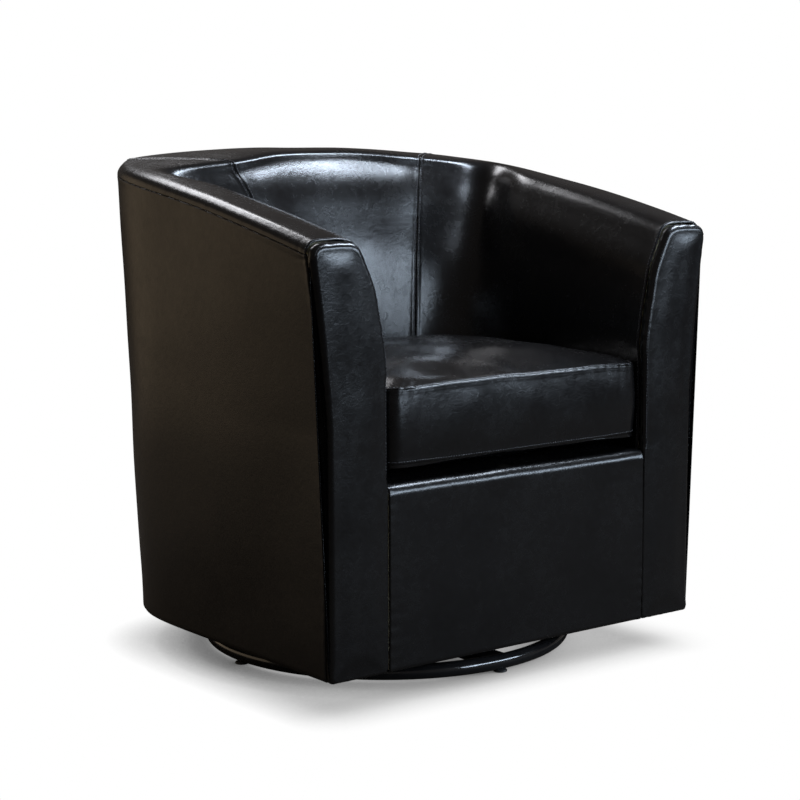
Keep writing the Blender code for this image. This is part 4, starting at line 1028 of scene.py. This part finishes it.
def dust_height(level):
    """The dust cover hangs a little between its staples and lies flat on the swivel's plate."""
    away = ramp(np.hypot(level[..., 0], level[..., 1]), 0.095, 0.05)
    to_edge = np.clip(1 - np.hypot(level[..., 0] / 0.30, level[..., 1] / 0.28) ** 2, 0, 1)
    return dust_high.z - 0.0001 - 0.0018 * away * to_edge * (1 + 0.4 * ripples(level, 0.08, 72))


stretched_cloth("dust_sheet", "dust_cover", closed_plan(dust_curve, dust_low.y + 0.001, 70), dust_height,
                0.0005)


# Seat cushion.  A loose box cushion: a crowned top panel and a bottom panel joined by a boxing strip
# with a topstitched seam at each edge, filled with a foam block and closed by a zip at the back.

cushion_bottom, cushion_low, cushion_high, cushion_crown = 0.2899, 0.311, 0.4116, 0.028
cushion_gap, cushion_corner, plan_step = 0.0035, 0.024, 0.0032
cushion_half, cushion_front = inner_half - cushion_gap, front_y + 0.005
cushion_side = cushion_high - cushion_low
corner_x, corner_y = cushion_half - cushion_corner, cushion_front + cushion_corner
corner_turn = np.linspace(0.0, math.pi / 2, 24)
right_corner = points_of(corner_x + cushion_corner * np.cos(corner_turn),
                         corner_y - cushion_corner * np.sin(corner_turn))
cushion_plan = np.concatenate([
    back_plan(300, lambda wall: wall.inner(cushion_low) - cushion_gap),
    np.linspace((cushion_half, pivot_y), (cushion_half, corner_y), 62)[1:-1], right_corner,
    np.linspace((corner_x, cushion_front), (-corner_x, cushion_front), 120)[1:-1],
    right_corner[::-1] * np.array([-1.0, 1.0]),
    np.linspace((-cushion_half, corner_y), (-cushion_half, pivot_y), 62)[1:-1]])
plan_around = np.linalg.norm(cushion_plan - np.roll(cushion_plan, 1, axis=0), axis=1).sum()
cushion_plan = soften(spaced(cushion_plan, int(plan_around / plan_step)), 2)
plan_middle = np.array([0.0, (cushion_plan[:, 1].min() + cushion_plan[:, 1].max()) / 2])
plan_inward = square_to(cushion_plan)
if ((plan_middle - cushion_plan) * plan_inward).sum() < 0:
    plan_inward = -plan_inward
plan_along = np.arange(len(cushion_plan)) * plan_step
at_corner = np.exp(-(np.hypot(np.abs(cushion_plan[:, 0]) - cushion_half + 0.012,
                              cushion_plan[:, 1] - cushion_front - 0.012) / 0.055) ** 2)
seam_rise = 0.0005 * np.sin(2 * math.pi * plan_along / 0.21 + 0.7)
seam_rise += 0.0003 * np.sin(2 * math.pi * plan_along / 0.087)
seam_rise -= 0.0030 * at_corner


def panel_ring(part, level, crown):
    """One ring of the top or bottom panel: the plan drawn toward its middle, raised the more from its seam
    the further in it lies, as a stuffed panel is."""
    flat = plan_middle + (cushion_plan - plan_middle) * part
    return points_of(flat[:, 0], flat[:, 1], level + crown * (1 - part ** 2.7) + seam_rise * part ** 6)


def strip_ring(up):
    """One ring of the boxing strip: the plan bulged by half a sine wave, less so at the two front corners."""
    bulge = 0.0040 * math.sin(math.pi * up) ** 0.8 * (1 - 0.5 * at_corner)
    bulge = bulge - 0.0016 * at_corner * (1 - math.sin(math.pi * up))
    flat = cushion_plan - plan_inward * bulge[:, None]
    lift = cushion_side * up + seam_rise * (up - 0.3 * (1 - up))
    return points_of(flat[:, 0], flat[:, 1], cushion_low + lift)


side_up = even_steps(cushion_side, 0.0008, 0.0050, 0.018) / cushion_side
top_parts = np.concatenate([1 - np.geomspace(0.0035, 0.30, 34), np.linspace(0.66, 0.05, 20)])
cushion = np.stack([panel_ring(part, cushion_low, cushion_bottom - cushion_low) for part in top_parts[::-1]]
                   + [strip_ring(up) for up in side_up]
                   + [panel_ring(part, cushion_high, cushion_crown) for part in top_parts])
cushion_core = level_core(cushion, np.array([*plan_middle, (cushion_low + cushion_high) / 2]), 0.6)
on_side = np.repeat([0.0, 1.0, 0.0], [len(top_parts), len(side_up), len(top_parts)])[:, None]
along_rows = runs(cushion, 0)[0]
past_low = along_rows - along_rows[len(top_parts)]
past_top = along_rows - along_rows[len(top_parts) + len(side_up) - 1]
to_low, to_top = np.abs(past_low), np.abs(past_top)
stand = sewn_edge(to_top, 0.0014, 0.0006) + sewn_edge(to_low, 0.0013, 0.0005)
stand += gathers(to_top, plan_along, 81, 0.00035, 0.012) * (0.6 + 1.2 * at_corner)
stand += gathers(to_low, plan_along, 82, 0.00025)
fade = ramp(to_top, 0.0, 0.03) * ramp(to_low, 0.0, 0.03) * (1 - 0.55 * on_side)
stand += 0.0010 * ripples(cushion, 0.085, 83) * fade
stand += (0.00035 * ripples(cushion * np.array([1.0, 1.0, 0.25]), 0.030, 84)
          * np.exp(-((to_top - 0.022) / 0.02) ** 2))
cushion = raised(cushion, cushion_core, stand)
cushion[..., 2] = np.maximum(cushion[..., 2], cushion_bottom)
fit_piece(grid_mesh("seat_cushion", cushion, cushion_core, False, True, caps=True), hide,
                    "seat_cushion", "black_leather", "seat_cushion_cover")
for row_name, past_seam in (("cushion_top", past_top), ("cushion_low", past_low)):
    topstitch(row_name, past_seam, cushion, grid_normals(cushion, cushion_core))

foam_block = eased("cushion_foam_block", "seat_cushion_foam", 0.0, foam_yellow, "seat_cushion", "foam",
                   angle=60.0)
for vert in foam_block.data.vertices:
    vert.co.z -= 0.006 if vert.co.z > cushion_high - 0.012 else 0.0

zip_low, zip_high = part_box("seat_cushion_zip")
zip_y, zip_z = zip_high.y, (zip_low.z + zip_high.z) / 2
tape_up = np.array([-0.0050, -0.0012, 0.0, 0.0012, 0.0050, 0.0050, -0.0050])
tape_out = np.array([0.0, 0.0004, 0.0005, 0.0004, 0.0, -0.0008, -0.0008])
tape = points_of(np.linspace(zip_low.x, zip_high.x, 30)[:, None], zip_y + tape_out, zip_z + tape_up)
tape_mesh = grid_mesh("zip_tape", tape, np.array([0.0, zip_y - 0.0003, zip_z]), False, True, caps=True)
fit_piece(tape_mesh, black_cloth, "seat_cushion", "black_plastic", "seat_cushion_zip")
tooth_x = np.arange(zip_low.x + 0.002, zip_high.x - 0.002, 0.0021)
tooth = np.array([(x, y, z) for x in (-0.0007, 0.0007) for y in (-0.0002, 0.0011) for z in (-0.0016, 0.0016)])
tooth_faces = ((0, 1, 3, 2), (4, 6, 7, 5), (0, 4, 5, 1), (2, 3, 7, 6), (0, 2, 6, 4), (1, 5, 7, 3))
tooth_places = points_of(tooth_x, zip_y + 0.0002, zip_z + 0.0007 * (-1.0) ** np.arange(len(tooth_x)))
teeth_mesh = bpy.data.meshes.new("zip_teeth")
teeth_mesh.from_pydata((tooth_places[:, None, :] + tooth).reshape(-1, 3).tolist(), [],
                       [tuple(8 * k + v for v in face) for k in range(len(tooth_x)) for face in tooth_faces])
fit_piece(teeth_mesh, matt_plastic, "seat_cushion", "black_plastic")


# Thread.  The topstitching is bonded black thread, a row of short stitches that sink in at each end; its grey
# is partly the thread's own and partly a painted highlight that makes the stitches show as light dots.

thread = finish_of("bonded_thread_painted_glint", (0.050, 0.050, 0.054), (0.095, 0.095, 0.105), (0.30, 0.45), 0.0, 900.0)
stitch_pitch, stitch_long, thread_radius, stitch_arch, stitch_sink = 0.0042, 0.0034, 0.00042, 0.00030, 0.00005
stitch_along = np.linspace(-0.5, 0.5, 7)
stitch_turns = round_steps(6)[:, None]


def stitch_mesh(name, line, normals):
    """Stitches along a line: each is a short tube that arches over the leather and narrows into it."""
    along = lengths_along(line)
    places = np.arange(stitch_pitch, along[-1] - stitch_pitch / 2, stitch_pitch)
    run = unit(between(places + 0.001, along, line) - between(places - 0.001, along, line))
    up = between(places, along, normals)
    up = unit(up - (up * run).sum(1, keepdims=True) * run)[:, None, None, :]
    run = run[:, None, None, :]
    arch = (stitch_arch * (1 - (2 * stitch_along) ** 2) - stitch_sink)[:, None, None]
    slim = (thread_radius * (1 - 0.75 * (2 * np.abs(stitch_along)) ** 4))[:, None, None]
    ahead = (stitch_along * stitch_long)[:, None, None]
    middle = between(places, along, line)[:, None, None, :] + run * ahead + up * arch
    points = middle + slim * (np.cos(stitch_turns) * up + np.sin(stitch_turns) * np.cross(run, up))
    count, lengths, sides = points.shape[:3]
    base = (np.arange(count) * lengths * sides)[:, None, None]
    i, j = np.arange(lengths - 1)[:, None] * sides, np.arange(sides)
    j_next = (j + 1) % sides
    quads = points_of(base + i + j, base + i + j_next, base + i + sides + j_next, base + i + sides + j)
    quads = quads.reshape(-1, 4)
    ends = np.concatenate([base[:, 0] + j[::-1], base[:, 0] + (lengths - 1) * sides + j])
    flat = points.reshape(-1, 3)
    first = flat[quads[0]]
    facing = first.mean(0) - middle[0, :2, 0].mean(0)
    if np.dot(np.cross(first[2] - first[0], first[3] - first[1]), facing) < 0:
        quads, ends = quads[:, ::-1], ends[:, ::-1]
    return mesh_of(name, flat, quads.tolist() + ends.tolist())


for row_name, line, line_normals in stitch_rows:
    body = "seat_cushion" if row_name.startswith("cushion") else "chair"
    fit_piece(stitch_mesh(f"stitches_{row_name}", line, line_normals), thread, body, "black_leather")
